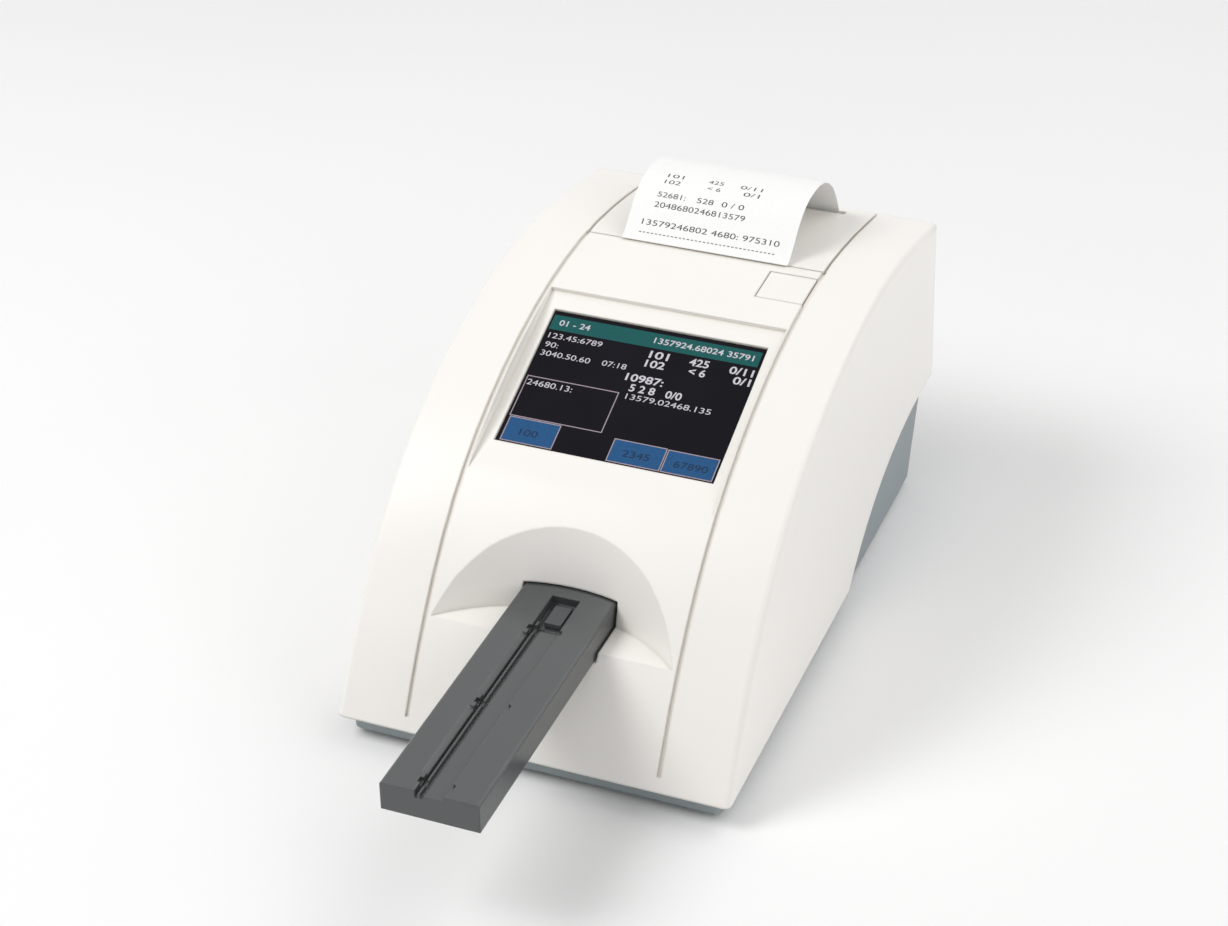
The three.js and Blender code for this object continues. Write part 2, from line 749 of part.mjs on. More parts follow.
function stripTray() {
  const { edge } = tray;
  const bar = prismY([
    [-trayHalf, trayZ], [trayHalf, trayZ], [trayHalf, trayTopZ - edge], [trayHalf - edge, trayTopZ],
    [-trayHalf + edge, trayTopZ], [-trayHalf, trayTopZ - edge],
  ], trayFrontY, trayRearY);
  const half = rack.width / 2 + seat;
  const rackGroove = block(
    -half, half, rackFrontY - seat, trayRearY + overrun, trayZ - overrun, rackTopZ + seat,
  );
  return cut(bar, rackGroove, ...channelCuts(), ...trayHollows());
}

function referencePad() {
  const bottomZ = trayTopZ - reference.recessDepth + seat;
  const centre = (channel.right - channel.left + channel.gutterWidth) / 2;
  const half = reference.width / 2;
  const y = recessY + reference.setBack;
  return block(centre - half, centre + half, y, y + reference.length, bottomZ, bottomZ + reference.thickness);
}

// Straight teeth that point down; a gap stands over the pinion's axis
function trayRack() {
  const pitch = Math.PI * feedGear.module;
  const rootZ = pitchZ + 1.25 * feedGear.module;
  const slope = Math.tan(rad(20));
  const halfAtPitch = pitch / 4 - rack.backlash;
  const tip = halfAtPitch - feedGear.module * slope;
  const root = halfAtPitch + (rootZ - pitchZ) * slope;
  const behind = Math.floor((rackRearY - gearY - root) / pitch - 1 / 2);
  const ahead = Math.floor((gearY - rackFrontY - root) / pitch + 1 / 2);
  const points = [[rackFrontY, rackTopZ], [rackFrontY, rootZ]];
  for (let tooth = -ahead; tooth <= behind; tooth++) {
    const y = gearY + (tooth + 1 / 2) * pitch;
    points.push([y - root, rootZ], [y - tip, rackTipZ], [y + tip, rackTipZ], [y + root, rootZ]);
  }
  points.push([rackRearY, rootZ], [rackRearY, rackTopZ]);
  return prismX(points, -rack.width / 2, rack.width / 2);
}

function feedPinion() {
  const half = feedGear.width / 2;
  return join(
    gearX({ ...feedGear, backlash: rack.backlash }, Math.PI / 2),
    rodX(feedGear.hubRadius, 0, half + feedGear.hubRadius, 0, 0, 16),
    rodX(feedGear.shaftRadius, 0, motorFaceX - feedMotor.bossLength - seat, 0, 0, 12),
  );
}

function feedMotorBody() {
  const { radius, length, bossRadius, bossLength, capRadius, capLength } = feedMotor;
  const backX = motorFaceX + length;
  return turnedX([
    [0, motorFaceX - bossLength], [bossRadius, motorFaceX - bossLength], [bossRadius, motorFaceX],
    [radius, motorFaceX], [radius, backX], [capRadius, backX], [capRadius, backX + capLength],
    [0, backX + capLength],
  ], 16, gearY, gearZ);
}

const earTopZ = guideZ + guide.floor;
const rearEarY = guideFrontY + guide.earRearShare * (guideRearY - guideFrontY);
const earPlaces = sides.flatMap((side) =>
  [guideFrontY + guide.earFrontSetBack, rearEarY].map((y) => [side * guide.earX, y]));

// Channel that carries the tray inside the housing, with the feed motor's tab and four screw ears
function trayGuide() {
  const lipX = guideInner - guide.lipReach;
  const walls = sides.flatMap((side) => [
    sideBlock(side, guideInner, guideOuter, guideFrontY, guideRearY, guideZ, guideTopZ),
    sideBlock(side, lipX, guideOuter, guideFrontY, guideRearY, guideTopZ - guide.lip, guideTopZ),
  ]);
  const ears = earPlaces.flatMap(([x, y]) => [
    rodZ(guide.earRadius, guideZ, earTopZ, x, y),
    sideBlock(Math.sign(x), guideInner, guide.earX, y - guide.earRadius, y + guide.earRadius, guideZ, earTopZ),
  ]);
  const floor = block(-guideOuter, guideOuter, guideFrontY, guideRearY, guideZ, earTopZ);
  const { radius, tabThickness, tabTopGap } = feedMotor;
  const tab = (x0, bottomZ) =>
    block(x0, guideOuter + tabThickness, gearY - radius, gearY + radius, bottomZ, guideTopZ - tabTopGap);
  const clear = feedRadius + feedGear.module + feedGear.sideGap;
  const half = feedGear.width / 2 + feedGear.sideGap;
  return cut(
    join(floor, ...walls, ...ears, tab(guideOuter, gearZ - radius), tab(guideInner, guideZ)),
    block(-half, half, gearY - clear, gearY + clear, guideZ - overrun, trayZ),
    rodX(feedMotor.bossRadius + screwGap, guideOuter - guide.wall / 2, motorFaceX + overrun, gearY, gearZ, 20),
    ...earPlaces.map(([x, y]) => screwHole(smallScrew, x, y, earTopZ, -1)),
  );
}

function addTray() {
  add("strip_tray", stripTray(), "trayGrey");
  add("reference_pad", referencePad(), "padGrey");
  add("tray_rack", trayRack(), "acetal");
  add("tray_guide", trayGuide(), "black");
  earPlaces.forEach(([x, y], i) => {
    add(`guide_screw_${i + 1}`, screwBody(smallScrew, x, y, earTopZ, -1), "steel");
  });
  add("feed_motor", feedMotorBody(), "steel");
  add("feed_pinion", feedPinion(), "acetal").position.set(0, gearY, gearZ);
}

// Optical head that reads the strip as the tray runs under it
function addOptics() {
  const half = optics.width / 2;
  const frontY = guideFrontY + optics.setBack;
  const backY = frontY + optics.depth;
  const middleY = (frontY + backY) / 2;
  const bottomZ = guideTopZ + seat;
  const topZ = bottomZ + optics.height;
  const lensZ = bottomZ + optics.lensLift;
  const inner = (near, far) => [near + optics.wall, far - optics.wall];
  const box = cut(
    block(-half, half, frontY, backY, bottomZ, topZ),
    block(...inner(-half, half), ...inner(frontY, backY), bottomZ + optics.wall, topZ + overrun),
  );
  const holder = rodZ(
    optics.lensRadius + seat + optics.holderWall, bottomZ, lensZ + optics.lensHeight, 0, middleY, 18,
  );
  const housing = cut(
    join(box, holder),
    rodZ(optics.apertureRadius, bottomZ - overrun, topZ, 0, middleY, 18),
    rodZ(optics.lensRadius + seat, lensZ, topZ, 0, middleY, 18),
  );
  add("optics_housing", housing, "black");
  const crownZ = lensZ + seat + optics.lensHeight - optics.lensCrown;
  const crown = lensShares.map(([out, up]) => [out * optics.lensRadius, crownZ + up * optics.lensCrown]);
  const lens = turnedZ([
    [0, lensZ + seat], [optics.lensRadius, lensZ + seat], ...crown, [0, crownZ + optics.lensCrown],
  ], 14, 0, middleY);
  add("optics_lens", lens, "clear");
  const boardZ0 = topZ + seat;
  const boardZ1 = boardZ0 + optics.boardThickness;
  const inset = optics.boardInset;
  const sensor = optics.sensorWidth / 2;
  const plug = optics.plugWidth / 2;
  const opticsBoard = join(
    block(-half + inset, half - inset, frontY + inset, backY - inset, boardZ0, boardZ1),
    block(-sensor, sensor, middleY - sensor, middleY + sensor, boardZ0 - optics.sensorHeight, boardZ1),
    block(-plug, plug, backY - inset - optics.plugDepth, backY - inset, boardZ0, boardZ1 + optics.plugHeight),
  );
  add("optics_board", opticsBoard, "board");
}

// Printer door, hinged along the top of the rear wall

const openingHalf = door.halfWidth + door.sideGap;
const hinge = { y: body.length - door.hingeInset, z: roofEnd.y - door.hingeDrop };
const rearWallZ = hinge.z - door.knuckleRadius - seat;
const slotRearY = body.length - door.slotInset;
const slotFrontY = slotRearY - door.slotWidth;
const slotY = (slotFrontY + slotRearY) / 2;
const slotHalf = paperHalf + door.slotGap;

const knuckleX = door.halfWidth - door.knuckleLength;

function printerDoor() {
  const frontY = doorFrontY + door.frontGap;
  const plate = cut(
    block(-door.halfWidth, door.halfWidth, frontY, farY, hinge.z, highZ),
    housingForm(door.thickness),
  );
  const ribSkin = housingSkin(door.thickness / 2, door.thickness + door.ribDepth);
  const ribs = sides.map((side) => ribSkin.intersect(sideBlock(
    side, door.ribX - door.ribWidth, door.ribX, frontY + door.ribEnd, hinge.y - door.ribEnd, hinge.z, highZ,
  )));
  const { knuckleRadius, knuckleLift, halfWidth } = door;
  const rods = rodX(knuckleRadius, -halfWidth, halfWidth, hinge.y, hinge.z, 16);
  const knuckles = sides.map((side) => join(
    rods.intersect(sideBlock(side, knuckleX, halfWidth, 0, farY, 0, highZ)),
    sideBlock(side, knuckleX, halfWidth, hinge.y - knuckleRadius, farY, hinge.z, hinge.z + knuckleLift),
  ));
  const pinHole = rodX(door.pinRadius + door.pinGap, -wide, wide, hinge.y, hinge.z, 14);
  return cut(
    join(plate, ...ribs, ...knuckles).intersect(housingForm(0)),
    block(-slotHalf, slotHalf, slotFrontY, slotRearY, hinge.z, highZ),
    ...sides.map((side) => pinHole.intersect(sideBlock(side, knuckleX - seat, wide, 0, farY, 0, highZ))),
  );
}

function addDoor() {
  add("printer_door", printerDoor(), "warmWhite");
  const near = knuckleX + door.pinGap;
  const far = openingHalf + door.bossLength - 2 * door.pinGap;
  add("hinge_pin_left", rodX(door.pinRadius, -far, -near, hinge.y, hinge.z, 12), "steel");
  add("hinge_pin_right", rodX(door.pinRadius, near, far, hinge.y, hinge.z, 12), "steel");
}

// Paper roll in its bin

const rollAxis = { y: body.length - roll.setForward, z: roll.z };
const binInner = roll.radius + bin.rollGap;
const binOuter = binInner + bin.wall;
const binHalf = roll.width / 2 + bin.sideGap;
const binTopZ = rollAxis.z + bin.frontRise;
const binEarZ = binTopZ - bin.earThickness;
const binEarX = openingHalf + bin.bossRadius + bin.earGap;
const binPlaces = sides.flatMap((side) =>
  [-bin.earSpread, bin.earSpread].map((along) => [side * binEarX, rollAxis.y + along]));

function paperBin() {
  const { y, z } = rollAxis;
  const lip = Math.PI * 2 + rad(bin.lipAngle);
  const trough = new THREE.Shape();
  trough.moveTo(y - binInner, binTopZ);
  trough.lineTo(y - binOuter, binTopZ);
  trough.absarc(y, z, binOuter, Math.PI, lip, false);
  trough.absarc(y, z, binInner, lip, Math.PI, true);
  const cheek = new THREE.Shape();
  cheek.moveTo(y + binOuter, binTopZ);
  cheek.lineTo(y - binOuter, binTopZ);
  cheek.absarc(y, z, binOuter, Math.PI, Math.PI * 2, false);
  const outline = (shape) => shape.getPoints(6).map((point) => [point.x, point.y]);
  const cheeks = sides.map((side) => {
    const x0 = side > 0 ? binHalf : -binHalf - bin.wall;
    return prismX(outline(cheek), x0, x0 + bin.wall);
  });
  const root = binHalf + bin.wall / 2;
  const ears = binPlaces.flatMap(([x, earY]) => [
    rodZ(bin.earRadius, binEarZ, binTopZ, x, earY),
    sideBlock(Math.sign(x), root, binEarX, earY - bin.earRadius, earY + bin.earRadius, binEarZ, binTopZ),
  ]);
  const journal = spindle.journalRadius + bin.slotGap;
  return cut(
    join(prismX(outline(trough), -root, root), ...cheeks, ...ears),
    rodX(journal, -wide, wide, y, z, 14),
    block(-wide, wide, y - journal, y + journal, z, binTopZ + overrun),
    ...binPlaces.map(([x, earY]) => screwHole(smallScrew, x, earY, binEarZ)),
  );
}

function paperSpindle() {
  const { radius, flangeRadius, journalRadius } = spindle;
  const flangeX = roll.width / 2 + seat;
  const journalX = binHalf - seat;
  const endX = binHalf + bin.wall - seat;
  return turnedX([
    [0, -endX], [journalRadius, -endX], [journalRadius, -journalX], [flangeRadius, -journalX],
    [flangeRadius, -flangeX], [radius, -flangeX], [radius, flangeX], [flangeRadius, flangeX],
    [flangeRadius, journalX], [journalRadius, journalX], [journalRadius, endX], [0, endX],
  ], spindle.sides, 0, 0);
}

function paperRoll() {
  const half = roll.width / 2;
  return cut(
    rodX(roll.radius, -half, half, 0, 0, roll.sides),
    rodX(roll.boreRadius, -wide, wide, 0, 0, 16),
  );
}

function addRoll() {
  add("paper_bin", paperBin(), "acetal");
  binPlaces.forEach(([x, y], i) => {
    add(`bin_screw_${i + 1}`, screwBody(smallScrew, x, y, binEarZ), "steel");
  });
  add("paper_roll", paperRoll(), "paper").position.set(0, rollAxis.y, rollAxis.z);
  add("paper_spindle", paperSpindle(), "black").position.set(0, rollAxis.y, rollAxis.z);
}

// Printer behind the roll: the platen pulls the paper past the print head, driven by a gear pair

const platenAxis = { y: rollAxis.y + platen.behindRoll, z: rollAxis.z + platen.aboveRoll };
const headFrontY = platenAxis.y + platen.radius + paper.thickness + 2 * paper.nipGap;
const sidePlateX = binHalf + seat;
const gearX0 = sidePlateX + printer.plate + printGear.plateGap;
const gearMiddleX = gearX0 + printGear.width / 2;
const gearSpread = (printGear.module * (printGear.teeth + printGear.pinionTeeth)) / 2;
const pinionAxis = {
  y: platenAxis.y + printGear.pinionShift,
  z: platenAxis.z - Math.sqrt(gearSpread ** 2 - printGear.pinionShift ** 2),
};

// The paper leaves the roll along a tangent, goes round the platen and up to the slot
function paperWeb() {
  const rollReach = roll.radius + seat + paper.thickness / 2;
  const platenReach = platen.radius + paper.nipGap + paper.thickness / 2;
  const apart = Math.hypot(platen.behindRoll, platen.aboveRoll);
  const slope = Math.atan2(platen.aboveRoll, platen.behindRoll);
  const touch = slope - Math.acos((rollReach - platenReach) / apart);
  const path = new THREE.Path();
  path.moveTo(rollAxis.y + rollReach * Math.cos(touch), rollAxis.z + rollReach * Math.sin(touch));
  path.lineTo(platenAxis.y + platenReach * Math.cos(touch), platenAxis.z + platenReach * Math.sin(touch));
  path.absarc(platenAxis.y, platenAxis.z, platenReach, touch, 0, false);
  path.lineTo(platenAxis.y + platenReach, platenAxis.z + paper.webTop);
  return sheetX(path.getPoints(paper.bendSteps), paper.thickness, -paperHalf, paperHalf);
}

function printerFrame() {
  const y0 = platenAxis.y - printer.frontReach;
  const y1 = platenAxis.y + printer.rearReach;
  const z0 = platenAxis.z - printer.bottomDrop;
  const z1 = platenAxis.z + printer.topRise;
  const outerX = sidePlateX + printer.plate;
  const plates = sides.map((side) => sideBlock(side, sidePlateX, outerX, y0, y1, z0, z1));
  const bar = block(-outerX, outerX, y0, y1, z0, z0 + printer.barHeight);
  const back = block(-outerX, outerX, y1 - printer.backThickness, y1, platenAxis.z - printer.headDrop, z1);
  return cut(
    join(...plates, bar, back),
    rodX(platen.shaftRadius + platen.shaftGap, -wide, wide, platenAxis.y, platenAxis.z, 16),
    rodX(printMotor.bossRadius + screwGap, 0, wide, pinionAxis.y, pinionAxis.z, 16),
  );
}

function printHead() {
  const half = sidePlateX - printer.headInset;
  const z0 = platenAxis.z - printer.headDrop;
  const z1 = platenAxis.z + printer.headRise;
  const backY = headFrontY + printer.headThickness;
  const pitch = (z1 - z0) / printer.fins;
  const cuts = [];
  for (let i = 0; i < printer.fins; i++) {
    const z = z0 + (i + 1 / 4) * pitch;
    cuts.push(block(-wide, wide, backY - printer.finDepth, backY + overrun, z, z + pitch / 2));
  }
  return cut(block(-half, half, headFrontY, backY, z0, z1), ...cuts);
}

function platenRoller() {
  const half = sidePlateX - platen.endGap;
  return join(
    rodX(platen.radius, -half, half, 0, 0, 16),
    rodX(platen.shaftRadius, -gearX0, gearX0 + printGear.width, 0, 0, 10),
  );
}

const meshAngle = Math.atan2(pinionAxis.z - platenAxis.z, pinionAxis.y - platenAxis.y);

function platenGear() {
  return cut(
    gearX(printGear, meshAngle),
    rodX(platen.shaftRadius + platen.shaftGap, -wide, wide, 0, 0, 14),
  );
}

function motorPinion() {
  const { pinionTeeth, shaftRadius } = printGear;
  const shaftStart = sidePlateX + printMotor.bossLength - gearMiddleX;
  return join(
    gearX({ ...printGear, teeth: pinionTeeth }, meshAngle + Math.PI + Math.PI / pinionTeeth),
    rodX(shaftRadius, shaftStart, 0, 0, 0, 12),
  );
}

function printerMotor() {
  const { radius, length, bossRadius, bossLength, capRadius, capLength } = printMotor;
  const faceX = sidePlateX - seat;
  const backX = faceX - length;
  return turnedX([
    [0, backX - capLength], [capRadius, backX - capLength], [capRadius, backX], [radius, backX],
    [radius, faceX], [bossRadius, faceX], [bossRadius, faceX + bossLength], [0, faceX + bossLength],
  ], 16, pinionAxis.y, pinionAxis.z);
}

function addPrinter() {
  add("paper_web", paperWeb(), "paper");
  add("printer_frame", printerFrame(), "steel");
  add("print_head", printHead(), "black");
  add("platen_roller", platenRoller(), "rubber").position.set(0, platenAxis.y, platenAxis.z);
  add("platen_gear", platenGear(), "acetal").position.set(gearMiddleX, platenAxis.y, platenAxis.z);
  add("motor_pinion", motorPinion(), "acetal").position.set(gearMiddleX, pinionAxis.y, pinionAxis.z);
  add("printer_motor", printerMotor(), "steel");
}

function paperStrip() {
  const points = stripShares.map(([along, up]) => {
    const y = slotY - along * (slotY - doorFrontY);
    return new THREE.Vector2(y, roofZ(y) + up * curlHeight);
  });
  const line = new THREE.SplineCurve(points).getPoints(paper.stripSteps);
  return sheetX(line, paper.thickness, -paperHalf, paperHalf);
}

// Push button ahead of the printer door, over a switch on a small board

const buttonRearY = doorFrontY - button.setForward;
const buttonFrontY = buttonRearY - button.length;
const collarZ = roofZ(buttonFrontY) - button.collarDepth;

function buttonHole(grow, bottomZ) {
  const { left, right } = button;
  return block(left - grow, right + grow, buttonFrontY - grow, buttonRearY + grow, bottomZ, highZ);
}

function addButton() {
  const x = (button.left + button.right) / 2;
  const y = (buttonFrontY + buttonRearY) / 2;
  const switchZ = collarZ - seat + button.switchHeight;
  const plungerZ = switchZ + button.plungerRise;
  const cap = housingSkin(button.sink, button.sink + button.cap).intersect(buttonHole(0, collarZ));
  const stem = rodZ(button.stemRadius, plungerZ + button.travel + seat, roofZ(y) - button.cap / 2, x, y);
  add("function_button", join(cap, stem), "warmWhite");
  const edge = button.gap + button.collar;
  const half = button.switchWidth / 2;
  const boardTop = collarZ - seat;
  const boardBody = join(
    block(button.left - edge, button.right + edge, buttonFrontY - edge, buttonRearY + edge,
      boardTop - button.boardThickness, boardTop),
    block(x - half, x + half, y - half, y + half, boardTop - seat, switchZ),
    rodZ(button.stemRadius, switchZ - seat, plungerZ, x, y),
  );
  add("button_board", boardBody, "board");
}

// Upper cover

const postX = body.halfWidth - post.sideInset;
const postPlaces = sides.flatMap((side) =>
  [post.frontInset, rearY - post.rearInset].map((y) => [side * postX, y]));
const headSeatZ = foot.height + base.floor;
const bossTopZ = headSeatZ + base.bossHeight;

function grooves() {
  const half = groove.width / 2;
  const lines = sides.map((side) => sideBlock(
    side, groove.centreX - half, groove.centreX + half, -overrun, doorFrontY + door.frontGap,
    coverZ + groove.bottomRise, highZ,
  ));
  return housingSkin(-overrun, groove.depth).intersect(join(...lines));
}

// Ledge that the front and side edges of the printer door lie on
function doorLedge() {
  const depth = door.thickness + seat;
  const inner = door.halfWidth - door.ledgeLap;
  const outer = openingHalf + body.wall;
  const lapY = doorFrontY + door.frontGap + door.ledgeLap;
  const frame = cut(
    block(-outer, outer, doorFrontY - body.wall, hinge.y - door.ribEnd, hinge.z, highZ),
    block(-inner, inner, lapY, farY, hinge.z, highZ),
  );
  const root = cut(frame, block(-openingHalf, openingHalf, doorFrontY, farY, hinge.z, highZ));
  return join(
    housingSkin(depth, depth + door.ledge).intersect(frame),
    housingSkin(body.wall / 2, depth + door.ledge).intersect(root),
  );
}

function coverBracing() {
  const posts = postPlaces.map(([x, y]) => rodZ(post.radius, bossTopZ + seat, highZ, x, y));
  const binBosses = binPlaces.map(([x, y]) => rodZ(bin.bossRadius, binTopZ + seat, highZ, x, y));
  const bosses = displayBosses.map(([x, y]) =>
    fromDisplay(rodZ(display.bossRadius, displayBossZ, body.rise / 2, x, y)));
  const half = door.bossSize / 2;
  const hingeBosses = sides.map((side) => sideBlock(
    side, openingHalf, openingHalf + door.bossLength, hinge.y - half, farY, hinge.z - half, hinge.z + half,
  ));
  const collar = buttonHole(button.gap + button.collar, collarZ);
  return join(...posts, ...binBosses, ...bosses, ...hingeBosses, collar).intersect(housingForm(body.wall / 2));
}

function upperCover() {
  const troughZ = trayZ - tray.slotGap;
  const troughHalf = trayHalf + tray.slotGap;
  const troughBack = cove.radius - cove.setBack + body.wall;
  const cavity = cut(
    housingForm(body.wall),
    displayPocket(body.wall),
    coveCone(body.wall, cove.floorZ - body.wall, cove.sides / 2),
    block(
      -troughHalf - body.wall, troughHalf + body.wall, -overrun, troughBack, troughZ - body.wall, cove.floorZ,
    ),
  );
  const shell = cut(
    join(cut(housingForm(0), cavity), coverBracing()),
    block(-openingHalf, openingHalf, doorFrontY, farY, rearWallZ, highZ),
  );
  const pinReach = openingHalf + door.bossLength - door.pinGap;
  return cut(
    join(shell, doorLedge()),
    belowCover(),
    grooves(),
    displayPocket(0),
    fromDisplay(centredBlock(display.windowWidth, display.windowHeight, -overrun, overrun)),
    coveCone(0, cove.floorZ, cove.sides),
    block(-troughHalf, troughHalf, -overrun, cove.radius, troughZ, trayTopZ + tray.slotGap),
    buttonHole(button.gap, collarZ - overrun),
    rodX(door.pinRadius + door.pinGap, -pinReach, pinReach, hinge.y, hinge.z, 14),
    ...postPlaces.map(([x, y]) => screwHole(screw, x, y, headSeatZ)),
    ...binPlaces.map(([x, y]) => screwHole(smallScrew, x, y, binEarZ)),
    ...displayBosses.map(([x, y]) => fromDisplay(screwHole(smallScrew, x, y, displayBoardBottom))),
  );
}

// Base

const baseHalf = body.halfWidth - base.sideInset;
const boardZ = headSeatZ + board.standoff + seat;
const boardTopZ = boardZ + board.thickness;
const portZ = boardTopZ + seat;
const bayBackY = rearY - bay.depth;
const bayFrontY = bayBackY - bay.wall;
const boardRearY = bayFrontY - board.wallGap;
const boardFrontY = boardRearY - board.length;
const boardRight = postX - base.bossRadius - board.postGap;
const bayTopZ = bay.floorZ + bay.height;
const footPlaces = sides.flatMap((side) =>
  [foot.frontInset, rearY - foot.rearInset].map((y) => [side * (baseHalf - foot.insetX), y]));
const standoffs = [boardFrontY + board.cornerInset, (boardFrontY + boardRearY) / 2].flatMap((y) =>
  [board.cornerInset - board.left, boardRight - board.cornerInset].map((x) => [x, y]));
const switchHalf = {
  x: rocker.width / 2 + rocker.gap + rocker.housingWall,
  z: rocker.height / 2 + rocker.gap + rocker.housingWall,
};
const bayHalf = baseHalf - bay.sideInset;
const portWidths = [2 * (switchHalf.x + rocker.bezel), jack.width, usb.width, serial.width];
const portSlack = 2 * bayHalf - portWidths.reduce((sum, width) => sum + width);
const [switchX, jackX, usbX, serialX] = portWidths.map((width, i) => {
  const before = portWidths.slice(0, i).reduce((sum, other) => sum + other, 0);
  const gaps = portGapShares.slice(0, i + 1).reduce((sum, share) => sum + share, 0) * portSlack;
  return -bayHalf + before + gaps + width / 2;
});

function baseForm(inset, bottomZ) {
  const rearAt = (z) => {
    const up = (z - foot.height) / (archEndZ - foot.height);
    return rearY - base.rearBottomInset + up * (base.rearBottomInset - base.rearTopInset) - inset;
  };
  const topZ = archEndZ + base.lap + overrun;
  const side = prismX([
    [-overrun, bottomZ], [rearAt(bottomZ), bottomZ], [rearAt(archEndZ), archEndZ], [rearAt(archEndZ), topZ],
    [-overrun, topZ],
  ], -wide, wide);
  const plan = roundedBlock(
    -baseHalf + inset, baseHalf - inset, base.frontInset + inset, farY, 0, highZ, base.cornerRadius - inset,
  );
  return plan.intersect(side).intersect(housingForm(body.wall + base.rimGap + inset));
}

// Everything above the base's rim, which follows the cover's lower edge
function aboveRim() {
  const topZ = archEndZ + base.lap;
  return prismX([
    [-farY, coverZ + base.lap], ...archPoints(base.lap), [farY, topZ], [farY, highZ], [-farY, highZ],
  ], -wide, wide);
}

function portHole(x, width, bottomZ, height) {
  const half = width / 2 + seat;
  const topZ = bottomZ + height + seat;
  return block(x - half, x + half, bayFrontY - bay.wall, bayBackY + seat, bottomZ - seat, topZ);
}

function baseHousing() {
  const solid = baseForm(0, foot.height);
  const alcove = block(
    -bayHalf - bay.wall, bayHalf + bay.wall, bayFrontY, farY, bay.floorZ - bay.wall, bayTopZ + bay.wall,
  ).intersect(solid);
  const pillars = [
    ...postPlaces.map(([x, y]) => rodZ(base.bossRadius, foot.height, bossTopZ, x, y, 14)),
    ...earPlaces.map(([x, y]) => rodZ(guide.earRadius, foot.height, guideZ - seat, x, y)),
    ...standoffs.map(([x, y]) => rodZ(board.standoffRadius, foot.height, boardZ - seat, x, y, 10)),
    ...standoffs.map(([x, y]) => rodZ(board.pinRadius, foot.height, boardTopZ + board.pinHeight, x, y, 8)),
  ];
  const shellZ = portZ + (serial.height - serial.shellHeight) / 2;
  return cut(
    join(cut(solid, baseForm(base.wall, headSeatZ), aboveRim()), alcove, ...pillars),
    block(-bayHalf, bayHalf, bayBackY, farY, bay.floorZ, bayTopZ),
    portHole(jackX, jack.width, portZ, jack.height),
    portHole(usbX, usb.width, portZ, usb.height),
    portHole(serialX, serial.shellWidth, shellZ, serial.shellHeight),
    portHole(switchX, 2 * switchHalf.x, rocker.z - switchHalf.z, 2 * switchHalf.z),
    ...sides.map((side) => rodY(
      serial.nutRadius + seat, bayFrontY - seat, farY, serialX + side * serial.nutX, portZ + serial.height / 2,
    )),
    ...postPlaces.map(([x, y]) => rodZ(screw.headRadius + screwGap, 0, headSeatZ, x, y)),
    ...postPlaces.map(([x, y]) => screwHole(screw, x, y, headSeatZ)),
    ...earPlaces.map(([x, y]) => screwHole(smallScrew, x, y, earTopZ, -1)),
    ...footPlaces.map(([x, y]) => rodZ(foot.spigotRadius + seat, 0, foot.height + foot.recess, x, y)),
  );
}

function addBase() {
  add("base_housing", baseHousing(), "baseGrey");
  postPlaces.forEach(([x, y], i) => {
    add(`base_screw_${i + 1}`, screwBody(screw, x, y, headSeatZ), "steel");
  });
  const topZ = foot.height - seat;
  const spigotZ = foot.height + foot.recess - seat;
  footPlaces.forEach(([x, y], i) => {
    const rubber = turnedZ([
      [0, 0], [foot.radius - foot.chamfer, 0], [foot.radius, foot.chamfer], [foot.radius, topZ],
      [foot.spigotRadius, topZ], [foot.spigotRadius, spigotZ], [0, spigotZ],
    ], 16, x, y);
    add(`rubber_foot_${i + 1}`, rubber, "rubber");
  });
}

// Main board with its ports, and the display cable

const boardPlugY = boardFrontY + cable.boardSetBack;

function mainBoard() {
  const plate = block(-board.left, boardRight, boardFrontY, boardRearY, boardZ, boardTopZ);
  const chipY = boardFrontY + chip.setBack;
  const processor = block(
    chip.x, chip.x + chip.width, chipY, chipY + chip.width, boardZ, boardTopZ + chip.height,
  );
  const plug = block(
    cable.left, cable.left + cable.width, boardPlugY - cable.plugDepth / 2, boardPlugY + cable.plugDepth / 2,
    boardZ, boardTopZ + cable.plugHeight,
  );
  const cans = [];
  for (let i = 0; i < capacitor.count; i++) {
    const y = boardRearY - capacitor.setForward - i * capacitor.pitch;
    cans.push(rodZ(capacitor.radius, boardZ, boardTopZ + capacitor.height, capacitor.x, y));
  }
  const hole = (radius, [x, y]) => rodZ(radius, boardZ - overrun, boardTopZ + overrun, x, y);
  return cut(
    join(plate, processor, plug, ...cans),
    ...standoffs.map((place) => hole(board.pinRadius + seat, place)),
    ...earPlaces.map((place) => hole(guide.earRadius + board.pillarGap, place)),
  );
}

function powerJack() {
  const z = portZ + jack.height / 2;
  const half = jack.width / 2;
  const shell = cut(
    block(jackX - half, jackX + half, bayBackY - jack.depth, bayBackY, portZ, portZ + jack.height),
    rodY(jack.socketRadius, bayBackY - jack.socketDepth, bayBackY + overrun, jackX, z, 20),
  );
  return join(shell, rodY(jack.pinRadius, bayBackY - jack.socketDepth - seat, bayBackY - seat, jackX, z, 10));
}

function usbPort() {
  const z = portZ + usb.height / 2;
  const bar = (width, height, y0, y1) =>
    block(usbX - width / 2, usbX + width / 2, y0, y1, z - height / 2, z + height / 2);
  const shell = cut(
    bar(usb.width, usb.height, bayBackY - usb.depth, bayBackY),
    bar(usb.mouthWidth, usb.mouthHeight, bayBackY - usb.mouthDepth, bayBackY + overrun),
  );
  return join(shell, bar(usb.tongueWidth, usb.tongueHeight, bayBackY - usb.mouthDepth - seat, bayBackY - seat));
}

